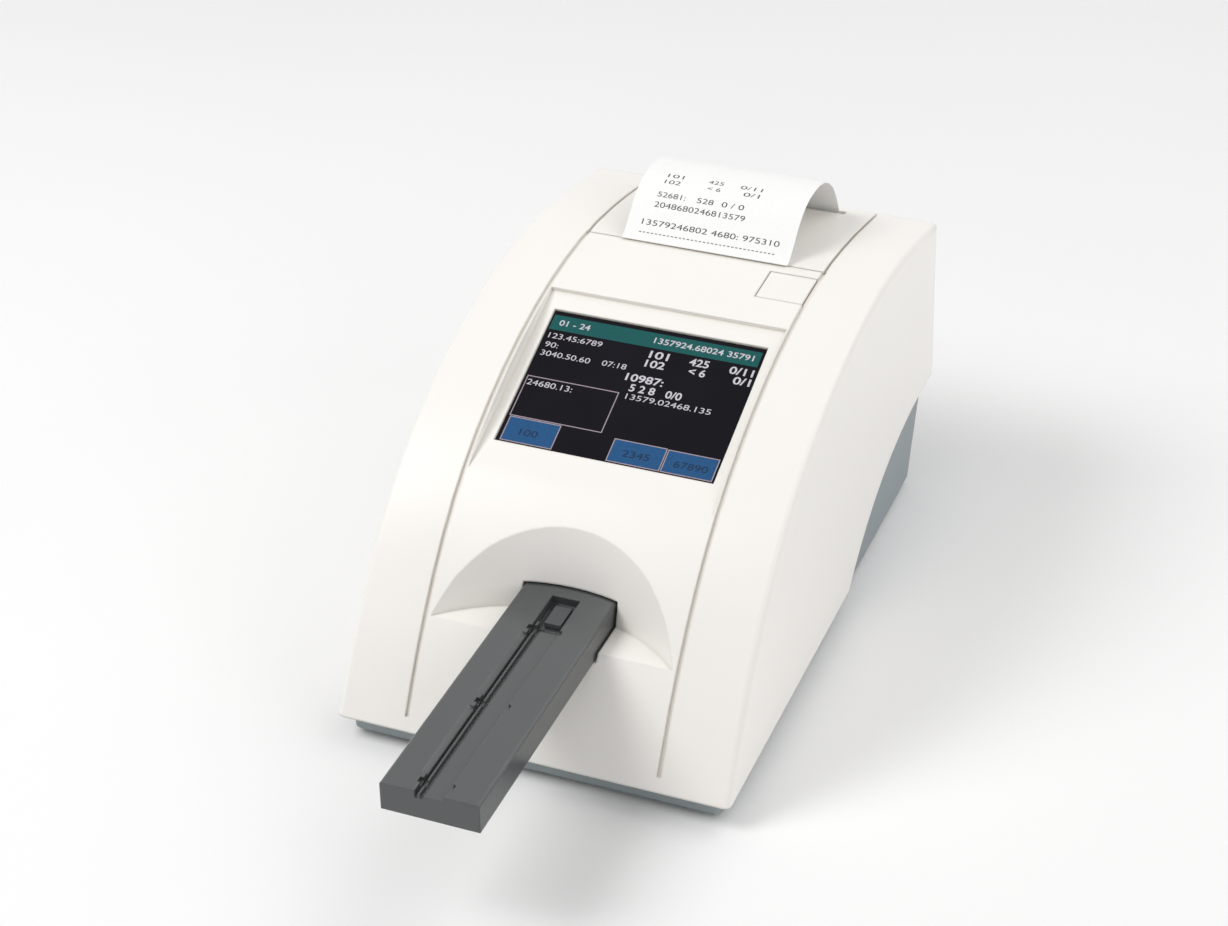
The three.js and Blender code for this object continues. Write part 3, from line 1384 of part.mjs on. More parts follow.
// Nine pins in two rows, in a shell that is narrower at the bottom, between two screw nuts
function serialPort() {
  const z = portZ + serial.height / 2;
  const half = serial.width / 2;
  const innerY = bayFrontY - seat;
  const outerY = bayBackY + serial.shellReach;
  const socketY = outerY - serial.socketDepth;
  const outline = (grow) => {
    const across = serial.shellWidth / 2 + grow;
    const up = serial.shellHeight / 2 + grow;
    const narrow = across - serial.taper;
    return [
      [serialX - narrow, z - up], [serialX + narrow, z - up], [serialX + across, z + up],
      [serialX - across, z + up],
    ];
  };
  const pins = [];
  for (const [count, level] of [[5, 1 / 2], [4, -1 / 2]]) {
    for (let i = 0; i < count; i++) {
      const x = serialX + (i - (count - 1) / 2) * serial.pinPitch;
      pins.push(rodY(serial.pinRadius, socketY - seat, outerY - seat, x, z + level * serial.rowGap, 6));
    }
  }
  const nuts = sides.map((side) =>
    rodY(serial.nutRadius, innerY - seat, outerY, serialX + side * serial.nutX, z, 6));
  const housing = block(
    serialX - half, serialX + half, bayBackY - serial.depth, innerY, portZ, portZ + serial.height,
  );
  const shell = cut(
    join(housing, prismY(outline(0), innerY - seat, outerY), ...nuts),
    prismY(outline(-serial.shellWall), socketY, outerY + overrun),
  );
  return join(shell, ...pins);
}

// Rocker switch: the rocker lies in a well and tips about an axis along X

const bezelY = bayBackY + seat + rocker.bezelThickness;
const rockerY = bezelY - rocker.pivotSink;

function switchHousing() {
  const around = (x, z, y0, y1) => block(switchX - x, switchX + x, y0, y1, rocker.z - z, rocker.z + z);
  const wellX = rocker.width / 2 + rocker.gap;
  const wellZ = rocker.height / 2 + rocker.gap;
  const rim = rocker.bezel;
  return cut(
    join(
      around(switchHalf.x, switchHalf.z, bayBackY - rocker.housingDepth, bezelY),
      around(switchHalf.x + rim, switchHalf.z + rim, bayBackY + seat, bezelY),
    ),
    around(wellX, wellZ, rockerY - rocker.depth - 2 * rocker.gap, farY),
  );
}

function addRocker() {
  const half = rocker.height / 2 - rocker.gap;
  const profile = [
    [-rocker.depth, -half], [rocker.peak, -half], [rocker.valley, 0], [rocker.peak, half],
    [-rocker.depth, half],
  ];
  const mesh = add("power_rocker", prismX(profile, -rocker.width / 2, rocker.width / 2), "black");
  mesh.position.set(switchX, rockerY, rocker.z);
  mesh.rotation.x = -rad(rocker.throw / 2);
}

function displayCable() {
  const top = new THREE.Vector3(0, cable.displayY, displayBoardBottom - cable.plugHeight - seat);
  top.applyMatrix4(displayGroup.matrix);
  const bottomZ = boardTopZ + cable.plugHeight + seat;
  const curve = new THREE.SplineCurve([
    new THREE.Vector2(top.y, top.z - seat),
    new THREE.Vector2(boardPlugY + cable.bulge, (top.z + bottomZ) / 2),
    new THREE.Vector2(boardPlugY, bottomZ),
  ]);
  return sheetX(curve.getPoints(cable.steps), cable.thickness, cable.left, cable.left + cable.width);
}

function addElectronics() {
  add("main_board", mainBoard(), "board");
  add("power_jack", powerJack(), "black");
  add("usb_port", usbPort(), "steel");
  add("serial_port", serialPort(), "steel");
  add("switch_housing", switchHousing(), "black");
  addRocker();
  add("display_cable", displayCable(), "ribbon");
}

add("upper_cover", upperCover(), "warmWhite");
addDisplay();
addTray();
addOptics();
addBase();
addElectronics();
addDoor();
addRoll();
addPrinter();
add("paper_strip", paperStrip(), "paper");
addButton();

export default analyzer;
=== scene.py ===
# Looks of the urine strip analyzer: materials, screen picture, print on the paper, marks and screws.
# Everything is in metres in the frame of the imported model: +X right, -Y front, +Z up, on the table.
import math

import bmesh
import bpy
import numpy as np
from mathutils import Matrix, Vector


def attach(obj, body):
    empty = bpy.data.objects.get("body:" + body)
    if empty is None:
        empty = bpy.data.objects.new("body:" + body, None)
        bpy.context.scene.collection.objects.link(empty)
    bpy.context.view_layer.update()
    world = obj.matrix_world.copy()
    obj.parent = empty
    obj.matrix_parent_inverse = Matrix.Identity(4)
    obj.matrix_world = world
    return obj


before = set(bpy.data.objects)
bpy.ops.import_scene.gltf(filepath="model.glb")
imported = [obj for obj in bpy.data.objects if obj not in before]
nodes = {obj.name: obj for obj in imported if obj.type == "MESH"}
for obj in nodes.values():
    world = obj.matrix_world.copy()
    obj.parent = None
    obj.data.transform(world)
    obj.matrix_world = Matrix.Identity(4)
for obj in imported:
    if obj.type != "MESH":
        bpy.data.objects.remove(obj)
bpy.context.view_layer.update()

scene = bpy.context.scene
MM = 0.001
DISPLAY_TILT = math.radians(21.6)  # of the screen and its sunk frame


# Camera, at the photograph's angle, as fitted to the edges that show there

PHOTO_WIDTH = 1228
SENSOR_WIDTH = 36.0
FITTED_ORIGIN = np.array([0.0, -75.75, 2.0])  # mm, lower front edge of the housing: the fit counts from here


def add_camera():
    azimuth, elevation, roll = math.radians(21.532), math.radians(32.176), math.radians(-0.405)
    focal_px, distance, shift_x, shift_y = 2613.52, 782.54, -25.62, -93.83
    level = math.cos(elevation)
    back = np.array([math.sin(azimuth) * level, -math.cos(azimuth) * level, math.sin(elevation)])
    right = np.array([math.cos(azimuth), math.sin(azimuth), 0.0])
    up = np.cross(back, right)
    c, s = math.cos(roll), math.sin(roll)
    axes = np.array([c * right + s * up, -s * right + c * up, back])
    place = axes.T @ np.array([-shift_x, -shift_y, distance]) + FITTED_ORIGIN
    camera = bpy.data.objects.new("camera", bpy.data.cameras.new("camera"))
    scene.collection.objects.link(camera)
    camera.data.sensor_width = SENSOR_WIDTH
    camera.data.lens = focal_px / PHOTO_WIDTH * SENSOR_WIDTH
    camera.data.clip_start = 0.01
    camera.data.clip_end = 20
    camera.matrix_world = Matrix.Translation(Vector(place * MM)) @ Matrix(axes.T.tolist()).to_4x4()
    scene.camera = camera


# Materials

def linear(hex_colour):
    values = [int(hex_colour[i:i + 2], 16) / 255 for i in (1, 3, 5)]
    return tuple(v / 12.92 if v <= 0.04045 else ((v + 0.055) / 1.055) ** 2.4 for v in values) + (1.0,)


class Shader:
    """A material with a principled shader, and short calls for its nodes."""

    def __init__(self, name):
        self.material = bpy.data.materials.new(name)
        self.material.use_nodes = True
        self.tree = self.material.node_tree
        self.shader = self.tree.nodes["Principled BSDF"]
        self.place = self.node("ShaderNodeTexCoord").outputs["Object"]

    def node(self, kind, **settings):
        made = self.tree.nodes.new(kind)
        for key, value in settings.items():
            setattr(made, key, value)
        return made

    def link(self, source, target):
        self.tree.links.new(source, target)

    def set(self, **values):
        for key, value in values.items():
            self.shader.inputs[key.replace("_", " ")].default_value = value

    def noise(self, scale, detail=3.0, rough=0.5, stretch=None):
        made = self.node("ShaderNodeTexNoise")
        made.inputs["Scale"].default_value = scale
        made.inputs["Detail"].default_value = detail
        made.inputs["Roughness"].default_value = rough
        source = self.place
        if stretch:
            mapping = self.node("ShaderNodeMapping")
            mapping.inputs["Scale"].default_value = stretch
            self.link(source, mapping.inputs["Vector"])
            source = mapping.outputs["Vector"]
        self.link(source, made.inputs["Vector"])
        return made.outputs["Fac"]

    def ramp(self, source, low, high, colour_low, colour_high):
        made = self.node("ShaderNodeValToRGB")
        made.color_ramp.elements[0].position = low
        made.color_ramp.elements[1].position = high
        made.color_ramp.elements[0].color = colour_low
        made.color_ramp.elements[1].color = colour_high
        self.link(source, made.inputs["Fac"])
        return made.outputs["Color"]

    def spread(self, source, low, high, start=0.0, end=1.0, interpolation="LINEAR"):
        """Spreads a value that runs from start to end over low to high."""
        made = self.node("ShaderNodeMapRange", interpolation_type=interpolation)
        return self.feed(made, source, start, end, low, high)["Result"]

    def colour(self, source):
        self.link(source, self.shader.inputs["Base Color"])

    def rough(self, source):
        self.link(source, self.shader.inputs["Roughness"])

    def feed(self, made, *values):
        """Gives a node its inputs in their order, each a number or another node's result."""
        for socket, value in zip(made.inputs, values):
            if isinstance(value, (int, float)):
                socket.default_value = value
            else:
                self.link(value, socket)
        return made.outputs

    def math(self, operation, first, second=0.0):
        return self.feed(self.node("ShaderNodeMath", operation=operation), first, second)["Value"]

    def vector(self, x, y, z):
        return self.feed(self.node("ShaderNodeCombineXYZ"), x, y, z)["Vector"]

    def vector_math(self, operation, first, second):
        return self.feed(self.node("ShaderNodeVectorMath", operation=operation), first, second)

    def all_of(self, first, *tests):
        for test in tests:
            first = self.math("MULTIPLY", first, test)
        return first

    def mix(self, kind, share, first, second):
        """The first colour or vector where the share is 0 and the second where it is 1."""
        made = self.node("ShaderNodeMix", data_type=kind)
        for name, source in (("Factor", share), ("A", first), ("B", second)):
            self.link(source, made.inputs[name])
        return made.outputs["Result"]

    def bump(self, source, height_mm, edge_mm=0.0, over=None):
        """A bump over edges rounded by edge_mm; over changes the rounded normal before the bump."""
        made = self.node("ShaderNodeBump")
        made.inputs["Distance"].default_value = height_mm * MM
        self.link(source, made.inputs["Height"])
        if edge_mm:
            edge = self.node("ShaderNodeBevel", samples=4)
            edge.inputs["Radius"].default_value = edge_mm * MM
            normal = edge.outputs["Normal"]
            self.link(over(self, normal) if over else normal, made.inputs["Normal"])
        self.link(made.outputs["Normal"], self.shader.inputs["Normal"])

    def paint_groove_shade(self, colour, depth, shade):
        """The colour, darkened towards a painted shade where ambient occlusion finds the surface in a groove
        or seam.
        """
        gap = self.node("ShaderNodeAmbientOcclusion", samples=8)
        gap.inputs["Distance"].default_value = depth * MM
        toned = self.node("ShaderNodeRGB")
        toned.outputs["Color"].default_value = linear(shade)
        return self.mix("RGBA", self.spread(gap.outputs["AO"], 1.0, 0.0), colour, toned.outputs["Color"])


# The cover's curves that the CAD builds of flats, in mm and degrees in the shared frame

ROOF_LOW_Y, ROOF_BEND_Y, ROOF_TOP_Y = -70.0, -31.0, -16.0
ROOF_LOW_SLOPE, ROOF_BEND_SLOPE = 61.9, 39.6
FRAME_HALF, FRAME_END_Y, GROOVE_X = 39.3, -25.2, 40.1
COVE_AXIS_Y, COVE_RADIUS, COVE_FLOOR_Z, COVE_LEAN = -93.95, 53.4, 38.8, 0.234
NEAR_CONE = 0.4  # how far the cove's wall may lie from its cone
FACING = math.cos(math.radians(21.0))  # how far a flat may be turned from its curve


def smooth_forms(made, normal):
    """The roof's front and the cove's wall are built of flats and are shaded as the curves they stand for.

    Where the surface lies on one of them and faces as it does, the curve's own direction takes the place
    of the flats' direction, and the rounding of an edge beside it stays.
    """
    axes = made.node("ShaderNodeSeparateXYZ")
    made.link(made.place, axes.inputs["Vector"])
    x, y, z = (axes.outputs[name] for name in "XYZ")
    flats = made.node("ShaderNodeNewGeometry").outputs["Normal"]

    def facing(curve):
        return made.math("GREATER_THAN", made.vector_math("DOT_PRODUCT", flats, curve)["Value"], FACING)

    # The roof's slope falls evenly towards the sunk frame, then turns into the frame's slope
    low, bend = math.radians(ROOF_LOW_SLOPE), math.radians(ROOF_BEND_SLOPE)
    lower = made.spread(y, low, bend, ROOF_LOW_Y * MM, ROOF_BEND_Y * MM)
    upper = made.spread(y, 0.0, DISPLAY_TILT - bend, ROOF_BEND_Y * MM, ROOF_TOP_Y * MM, "SMOOTHSTEP")
    slope = made.math("ADD", lower, upper)
    roof = made.vector(0.0, made.math("MULTIPLY", made.math("SINE", slope), -1.0), made.math("COSINE", slope))
    aside = made.math("ABSOLUTE", x)
    in_frame = made.math("LESS_THAN", aside, FRAME_HALF * MM)
    below_frame = made.all_of(
        made.math("LESS_THAN", aside, GROOVE_X * MM),
        made.math("LESS_THAN", y, FRAME_END_Y * MM),
    )
    on_roof = made.all_of(
        made.math("MAXIMUM", in_frame, below_frame),
        made.math("GREATER_THAN", y, ROOF_LOW_Y * MM),
        made.math("LESS_THAN", y, ROOF_TOP_Y * MM),
        facing(roof),
    )

    # The cove's wall is a cone about an upright axis ahead of the housing
    depth = made.math("SUBTRACT", y, COVE_AXIS_Y * MM)
    squares = made.math("ADD", made.math("MULTIPLY", x, x), made.math("MULTIPLY", depth, depth))
    away = made.math("POWER", squares, 0.5)
    lean = math.atan(COVE_LEAN)
    inward = made.math("DIVIDE", -math.cos(lean), away)
    wall = made.vector(made.math("MULTIPLY", x, inward), made.math("MULTIPLY", depth, inward), math.sin(lean))
    foot = (COVE_RADIUS - COVE_LEAN * COVE_FLOOR_Z) * MM
    reach = made.math("ADD", made.math("MULTIPLY", z, COVE_LEAN), foot)
    error = made.math("ABSOLUTE", made.math("SUBTRACT", away, reach))
    on_wall = made.all_of(made.math("LESS_THAN", error, NEAR_CONE * MM), facing(wall))

    edge = made.vector_math("SUBTRACT", normal, flats)["Vector"]
    for curve, here in ((roof, on_roof), (wall, on_wall)):
        normal = made.mix("VECTOR", here, normal, made.vector_math("ADD", curve, edge)["Vector"])
    return normal


# Painted shade: depth in mm over which grooves and seams are darkened in colour
PAINTED_SHADE_DEPTH = 1.6  # mm over which a surface is toned towards the shade of the grooves


def moulded(
    name, colour, rough=0.42, grain=0.006, grain_scale=2600, vary=0.03, edge=0.35, painted_groove_shade=None, over=None,
    **settings
):
    """Moulded plastic: a fine spark-eroded grain, faint flow shades, edges that catch the light and, where a
    shade colour is given, painted shade darkening its grooves and seams.
    """
    made = Shader(name)
    base = linear(colour)
    dark = tuple(v * (1 - vary) for v in base[:3]) + (1.0,)
    bright = tuple(min(1.0, v * (1 + vary / 2)) for v in base[:3]) + (1.0,)
    tone = made.ramp(made.noise(22, 4), 0.32, 0.7, dark, bright)
    # Painted shade: the colour is darkened in grooves and seams where ambient occlusion finds them
    made.colour(made.paint_groove_shade(tone, PAINTED_SHADE_DEPTH, painted_groove_shade) if painted_groove_shade else tone)
    made.rough(made.spread(made.noise(60, 3), rough - 0.05, rough + 0.06))
    made.bump(made.noise(grain_scale, 2), grain, edge, over)
    made.set(**settings)
    return made.material


def metal(name, colour, rough=0.3, stretch=(1.0, 1.0, 1.0), scale=900):
    made = Shader(name)
    base = linear(colour)
    dark = tuple(v * 0.86 for v in base[:3]) + (1.0,)
    made.colour(made.ramp(made.noise(120, 4, stretch=stretch), 0.3, 0.7, dark, base))
    made.rough(made.spread(made.noise(scale, 3, stretch=stretch), rough - 0.08, rough + 0.1))
    made.bump(made.noise(scale, 2, stretch=stretch), 0.004, 0.15)
    made.set(Metallic=1.0)
    return made.material


def circuit(name):
    """Green board with paler tracks under its mask."""
    made = Shader(name)
    grid = made.node("ShaderNodeTexBrick")
    grid.offset = 0.5
    grid.inputs["Scale"].default_value = 90
    grid.inputs["Mortar Size"].default_value = 0.03
    grid.inputs["Color1"].default_value = linear("#1E5B3C")
    grid.inputs["Color2"].default_value = linear("#225F40")
    grid.inputs["Mortar"].default_value = linear("#2F7A52")
    made.link(made.place, grid.inputs["Vector"])
    made.colour(grid.outputs["Color"])
    made.rough(made.spread(made.noise(200, 2), 0.3, 0.45))
    made.bump(grid.outputs["Fac"], 0.02)
    return made.material


def paper(name, colour):
    made = Shader(name)
    base = linear(colour)
    dark = tuple(v * 0.965 for v in base[:3]) + (1.0,)
    made.colour(made.ramp(made.noise(900, 4, 0.6), 0.25, 0.75, dark, base))
    made.rough(made.spread(made.noise(300, 3), 0.55, 0.7))
    made.bump(made.noise(3500, 3, 0.6), 0.006)
    return made.material


def screen_glass(name):
    made = Shader(name)
    made.colour(made.ramp(made.noise(40, 3), 0.3, 0.7, linear("#0C0A12"), linear("#13111A")))
    made.rough(made.spread(made.noise(90, 3), 0.1, 0.2))
    made.bump(made.noise(1600, 2), 0.0015)
    made.set(Specular_IOR_Level=0.09)
    return made.material


def lit(name, colour, glow):
    """A patch of the lit display: its colour with a pixel grid and a little of its own light."""
    made = Shader(name)
    base = linear(colour)
    dark = tuple(v * 0.88 for v in base[:3]) + (1.0,)
    made.colour(made.ramp(made.noise(1500, 1), 0.35, 0.65, dark, base))
    made.rough(made.spread(made.noise(90, 2), 0.15, 0.25))
    made.set(Emission_Color=base, Emission_Strength=glow, Specular_IOR_Level=0.12)
    return made.material


def clear_lens(name):
    made = Shader(name)
    made.colour(made.ramp(made.noise(30, 2), 0.3, 0.7, linear("#E7EEF2"), linear("#F4F8FA")))
    made.rough(made.spread(made.noise(200, 2), 0.02, 0.05))
    made.bump(made.noise(800, 2), 0.001)
    made.set(Transmission_Weight=0.9, IOR=1.49)
    return made.material


def ink(name, colour):
    """Thermal print: dark, with paler specks."""
    made = Shader(name)
    base = linear(colour)
    pale = tuple(min(1.0, v * 2.2 + 0.02) for v in base[:3]) + (1.0,)
    made.colour(made.ramp(made.noise(2600, 2), 0.4, 0.75, base, pale))
    made.rough(made.spread(made.noise(500, 2), 0.5, 0.7))
    return made.material


# Colour of the painted shade in the grooves and seams of the cover and the door
PAINTED_GROOVE_SHADE_COLOUR = "#E6E0D4"

finishes = {
    "cover": moulded(
        "moulded_warm_white", "#FAF7F2", rough=0.36, vary=0.012, edge=0.9, painted_groove_shade=PAINTED_GROOVE_SHADE_COLOUR, over=smooth_forms
    ),
    "door": moulded("moulded_warm_white_door", "#F9F6F1", rough=0.42, vary=0.012, painted_groove_shade=PAINTED_GROOVE_SHADE_COLOUR),
    "base": moulded("moulded_blue_grey", "#919A9E", rough=0.5, vary=0.03),
    "tray": moulded(
        "moulded_dark_grey", "#444748", rough=0.2, grain=0.0015, vary=0.06, edge=0.9, Specular_IOR_Level=0.8
    ),
    "pad": moulded("matt_pad_grey", "#4B4E50", rough=0.7, grain=0.01, grain_scale=1500, edge=0.1),
    "black": moulded("moulded_black", "#1B1B1E", rough=0.42, vary=0.08, edge=0.2),
    "rubber": moulded(
        "moulded_rubber", "#222324", rough=0.8, grain=0.012, grain_scale=1500, vary=0.1, edge=0.2
    ),
    "acetal": moulded("natural_acetal", "#E3E0D3", rough=0.36, vary=0.02, edge=0.1),
    "ribbon": moulded("ribbon_film", "#D8D5C8", rough=0.45, grain=0.002, edge=0.0),
    "steel": metal("plated_steel", "#B9BCC0", 0.3),
    "motor": metal("motor_can", "#A9ACB0", 0.34, (1.0, 0.15, 0.15), 500),
    "pin": metal("ground_steel", "#C6C8CB", 0.22),
    "board": circuit("circuit_board"),
    "paper": paper("thermal_paper", "#FEFEFD"),
    "roll": paper("thermal_paper_edge", "#F1F1EE"),
    "glass": screen_glass("display_glass"),
    "lens": clear_lens("moulded_lens"),
    "text": lit("display_white", "#C9C6CE", 0.12),
    "bar": lit("display_teal", "#1A5857", 0.1),
    "key": lit("display_blue", "#285685", 0.06),
    "frame": lit("display_outline", "#A89AA4", 0.1),
    "glyph": lit("display_glyph", "#25354F", 0.02),
    "ink": ink("thermal_print", "#2B2C30"),
    "mark": moulded("pad_print_white", "#C9CBCC", rough=0.5, edge=0.0),
    # Painted shade: a flat dark colour for the shaded hollows of the screws' drives
    "recess": moulded("drive_recess", "#3A3B3D", rough=0.6, edge=0.0),
}

finish_of = {
    "upper_cover": "cover", "printer_door": "door", "function_button": "door", "base_housing": "base",
    "strip_tray": "tray", "reference_pad": "pad", "tray_rack": "acetal", "feed_pinion": "acetal",
    "paper_bin": "acetal", "platen_gear": "acetal", "motor_pinion": "acetal", "tray_guide": "black",
    "optics_housing": "black", "power_jack": "black", "switch_housing": "black", "power_rocker": "black",
    "paper_spindle": "black", "print_head": "black", "platen_roller": "rubber", "touch_panel": "glass",
    "optics_lens": "lens", "display_board": "board", "optics_board": "board", "main_board": "board",
    "button_board": "board", "paper_strip": "paper", "paper_web": "paper", "paper_roll": "roll",
    "display_cable": "ribbon", "feed_motor": "motor", "printer_motor": "motor", "hinge_pin_left": "pin",
    "hinge_pin_right": "pin",
}


# Smooth shading that keeps sharp corners, as a modifier

JOIN_WITHIN = 0.004  # mm
SHARP_FROM = math.radians(31.5)  # the cove's rim is 32.5 degrees at its top, rounded corners are 30 at most


def smoothing():
    tree = bpy.data.node_groups.new("smooth_faces", "GeometryNodeTree")
    tree.interface.new_socket("Geometry", in_out="INPUT", socket_type="NodeSocketGeometry")
    tree.interface.new_socket("Geometry", in_out="OUTPUT", socket_type="NodeSocketGeometry")
    start = tree.nodes.new("NodeGroupInput")
    end = tree.nodes.new("NodeGroupOutput")
    merge = tree.nodes.new("GeometryNodeMergeByDistance")
    merge.inputs["Distance"].default_value = JOIN_WITHIN * MM
    faces = tree.nodes.new("GeometryNodeSetShadeSmooth")
    faces.domain = "FACE"
    edges = tree.nodes.new("GeometryNodeSetShadeSmooth")
    edges.domain = "EDGE"
    edges.inputs["Shade Smooth"].default_value = False
    angle = tree.nodes.new("GeometryNodeInputMeshEdgeAngle")
    wider = tree.nodes.new("FunctionNodeCompare")
    wider.data_type = "FLOAT"
    wider.operation = "GREATER_THAN"
    wider.inputs["B"].default_value = SHARP_FROM
    link = tree.links.new
    link(start.outputs["Geometry"], merge.inputs["Geometry"])
    link(merge.outputs["Geometry"], faces.inputs["Geometry"])
    link(faces.outputs["Geometry"], edges.inputs["Geometry"])
    link(angle.outputs["Unsigned Angle"], wider.inputs["A"])
    link(wider.outputs["Result"], edges.inputs["Selection"])
    link(edges.outputs["Geometry"], end.inputs["Geometry"])
    return tree


def dress_nodes():
    """Gives each node its finish, and smooth shading to all but the toothed ones."""
    tree = smoothing()
    for name, piece in nodes.items():
        finish = finishes[finish_of.get(name, "rubber" if name.startswith("rubber") else "steel")]
        piece.data.materials.clear()
        piece.data.materials.append(finish)
        if name.endswith(("gear", "pinion", "rack")):
            continue
        smooth = piece.modifiers.new("smooth", "NODES")
        smooth.node_group = tree
        weighted = piece.modifiers.new("weighted", "WEIGHTED_NORMAL")
        weighted.keep_sharp = True
        weighted.weight = 60


# Pieces that the scene adds

def mesh_piece(name, verts, faces, finish, body):
    mesh = bpy.data.meshes.new(name)
    mesh.from_pydata([tuple(v) for v in verts], [], faces)
    mesh.validate()
    piece = bpy.data.objects.new(name, mesh)
    scene.collection.objects.link(piece)
    piece.data.materials.append(finishes[finish])
    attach(piece, body)
    return piece


GLYPH_HEIGHT = 0.73  # of a digit in Blender's font, as a share of the font size


def glyphs(words, bold):
    """A line of characters from Blender's own font as 2D points and faces, one unit from foot to top."""
    curve = bpy.data.curves.new("text", "FONT")
    curve.body = words
    curve.offset = bold
    holder = bpy.data.objects.new("text", curve)
    scene.collection.objects.link(holder)
    bpy.context.view_layer.update()
    mesh = bpy.data.meshes.new_from_object(holder.evaluated_get(bpy.context.evaluated_depsgraph_get()))
    points = np.array([(v.co.x, v.co.y) for v in mesh.vertices]) / GLYPH_HEIGHT
    faces = [tuple(p.vertices) for p in mesh.polygons]
    bpy.data.objects.remove(holder)
    bpy.data.curves.remove(curve)
    bpy.data.meshes.remove(mesh)
    return points, faces


class Sheet:
    """Collects flat shapes in millimetres, u to the right and v up, then lays them on a surface."""

    def __init__(self, place, body, slot, folds=()):
        self.place, self.body, self.slot, self.folds = place, body, slot, folds
        self.parts = {}

    def add(self, finish, points, faces, lift):
        verts, polygons = self.parts.setdefault(finish, ([], []))
        start = len(verts)
        verts.extend((u, v, lift) for u, v in points)
        polygons.extend(tuple(start + i for i in face) for face in faces)

    def box(self, finish, u0, v0, u1, v1, lift):
        self.add(finish, [(u0, v0), (u1, v0), (u1, v1), (u0, v1)], [(0, 1, 2, 3)], lift)

    def outline(self, finish, u0, v0, u1, v1, width, lift):
        self.box(finish, u0, v0, u1, v0 + width, lift)
        self.box(finish, u0, v1 - width, u1, v1, lift)
        self.box(finish, u0, v0 + width, u0 + width, v1 - width, lift)
        self.box(finish, u1 - width, v0 + width, u1, v1 - width, lift)

    def text(self, finish, words, u0, u1, foot, height, lift, bold=0.0):
        """Characters that stand on v = foot and fill the width from u0 to u1."""
        points, faces = glyphs(words, bold)
        left, right = points[:, 0].min(), points[:, 0].max()
        u = u0 + (points[:, 0] - left) * (u1 - u0) / (right - left)
        self.add(finish, list(zip(u, foot + points[:, 1] * height)), faces, lift)

    def make(self, name):
        for finish, (verts, faces) in self.parts.items():
            flat = bmesh.new()
            made = [flat.verts.new(v) for v in verts]
            for face in faces:
                flat.faces.new([made[i] for i in face])
            for fold in self.folds:
                geometry = flat.verts[:] + flat.edges[:] + flat.faces[:]
                bmesh.ops.bisect_plane(flat, geom=geometry, plane_co=(0, fold, 0), plane_no=(0, 1, 0))
            flat.verts.index_update()
            placed = [self.place(*v.co) for v in flat.verts]
            polygons = [[v.index for v in face.verts] for face in flat.faces]
            flat.free()
            mesh_piece(f"{name}_{finish}", placed, polygons, finish, self.body)


def add_screen():
    """The lit picture of the touch screen: a title bar, rows of figures, a framed field and three keys."""
    corners = np.array([v.co[:] for v in nodes["touch_panel"].data.vertices])
    out = np.array([0.0, -math.sin(DISPLAY_TILT), math.cos(DISPLAY_TILT)])
    up = np.array([0.0, math.cos(DISPLAY_TILT), math.sin(DISPLAY_TILT)])
    face = (corners @ out).max()
    low, high = (corners @ up).min(), (corners @ up).max()
    width = 2 * corners[:, 0].max() / MM
    tall = (high - low) / MM

    def place(u, v, lift):
        return out * (face + lift * MM) + up * (low + v * MM) + np.array([(u - width / 2) * MM, 0.0, 0.0])

    picture = Sheet(place, "housing", "screen_glass")
    flat_lift, line_lift, text_lift, line_width = 0.02, 0.035, 0.05, 0.32
    plain, strong, bar_bold = (2.2, 0.0), (2.9, 0.02), (2.3, 0.012)

    # Places are shares of the panel, from its top left corner; sizes are in mm
    def area(u0, v0, u1, v1):
        return u0 * width, (1 - v1) * tall, u1 * width, (1 - v0) * tall

    def flat(finish, *corners):
        picture.box(finish, *area(*corners), flat_lift)

    def frame_line(*corners):
        picture.outline("frame", *area(*corners), line_width, line_lift)

    def row(words, u0, u1, v, size, finish="text"):
        height, bold = size
        foot = (1 - v) * tall - height / 2
        picture.text(finish, words, u0 * width, u1 * width, foot, height, text_lift, bold)

    flat("bar", 0.006, 0.028, 0.986, 0.14)
    row("01 - 24", 0.043, 0.19, 0.08, bar_bold)
    row("1357924.68024 35791", 0.495, 0.958, 0.08, bar_bold)
    row("123.45:6789", 0.02, 0.275, 0.183, plain)
    row("90:", 0.022, 0.085, 0.252, plain)
    row("3040.50.60", 0.02, 0.254, 0.318, plain)
    row("07:18", 0.31, 0.424, 0.312, plain)
    row("101", 0.5, 0.59, 0.186, strong)
    row("102", 0.498, 0.588, 0.255, strong)
    row("425", 0.687, 0.777, 0.186, strong)
    row("< 6", 0.7, 0.777, 0.255, strong)
    row("0/11", 0.873, 0.983, 0.19, strong)
    row("0/1", 0.906, 0.985, 0.259, strong)
    row("10987:", 0.44, 0.614, 0.376, strong)
    row("5 2 8   0/0", 0.476, 0.717, 0.449, strong)
    row("13579.02468.135", 0.476, 0.868, 0.515, plain)
    frame_line(0.01, 0.5, 0.442, 0.805)
    row("24680.13:", 0.02, 0.233, 0.545, (2.3, 0.0))
    for u0, u1, v0 in ((0.02, 0.258, 0.815), (0.512, 0.752, 0.828), (0.76, 0.99, 0.832)):
        flat("key", u0, v0, u1, 0.985)
        frame_line(u0 - 0.004, v0 - 0.006, u1, 0.987)
    for label in (("100", 0.088, 0.172, 0.905), ("2345", 0.568, 0.69, 0.91), ("67890", 0.803, 0.955, 0.914)):
        row(*label, (2.6, 0.0), "glyph")
    picture.make("screen")


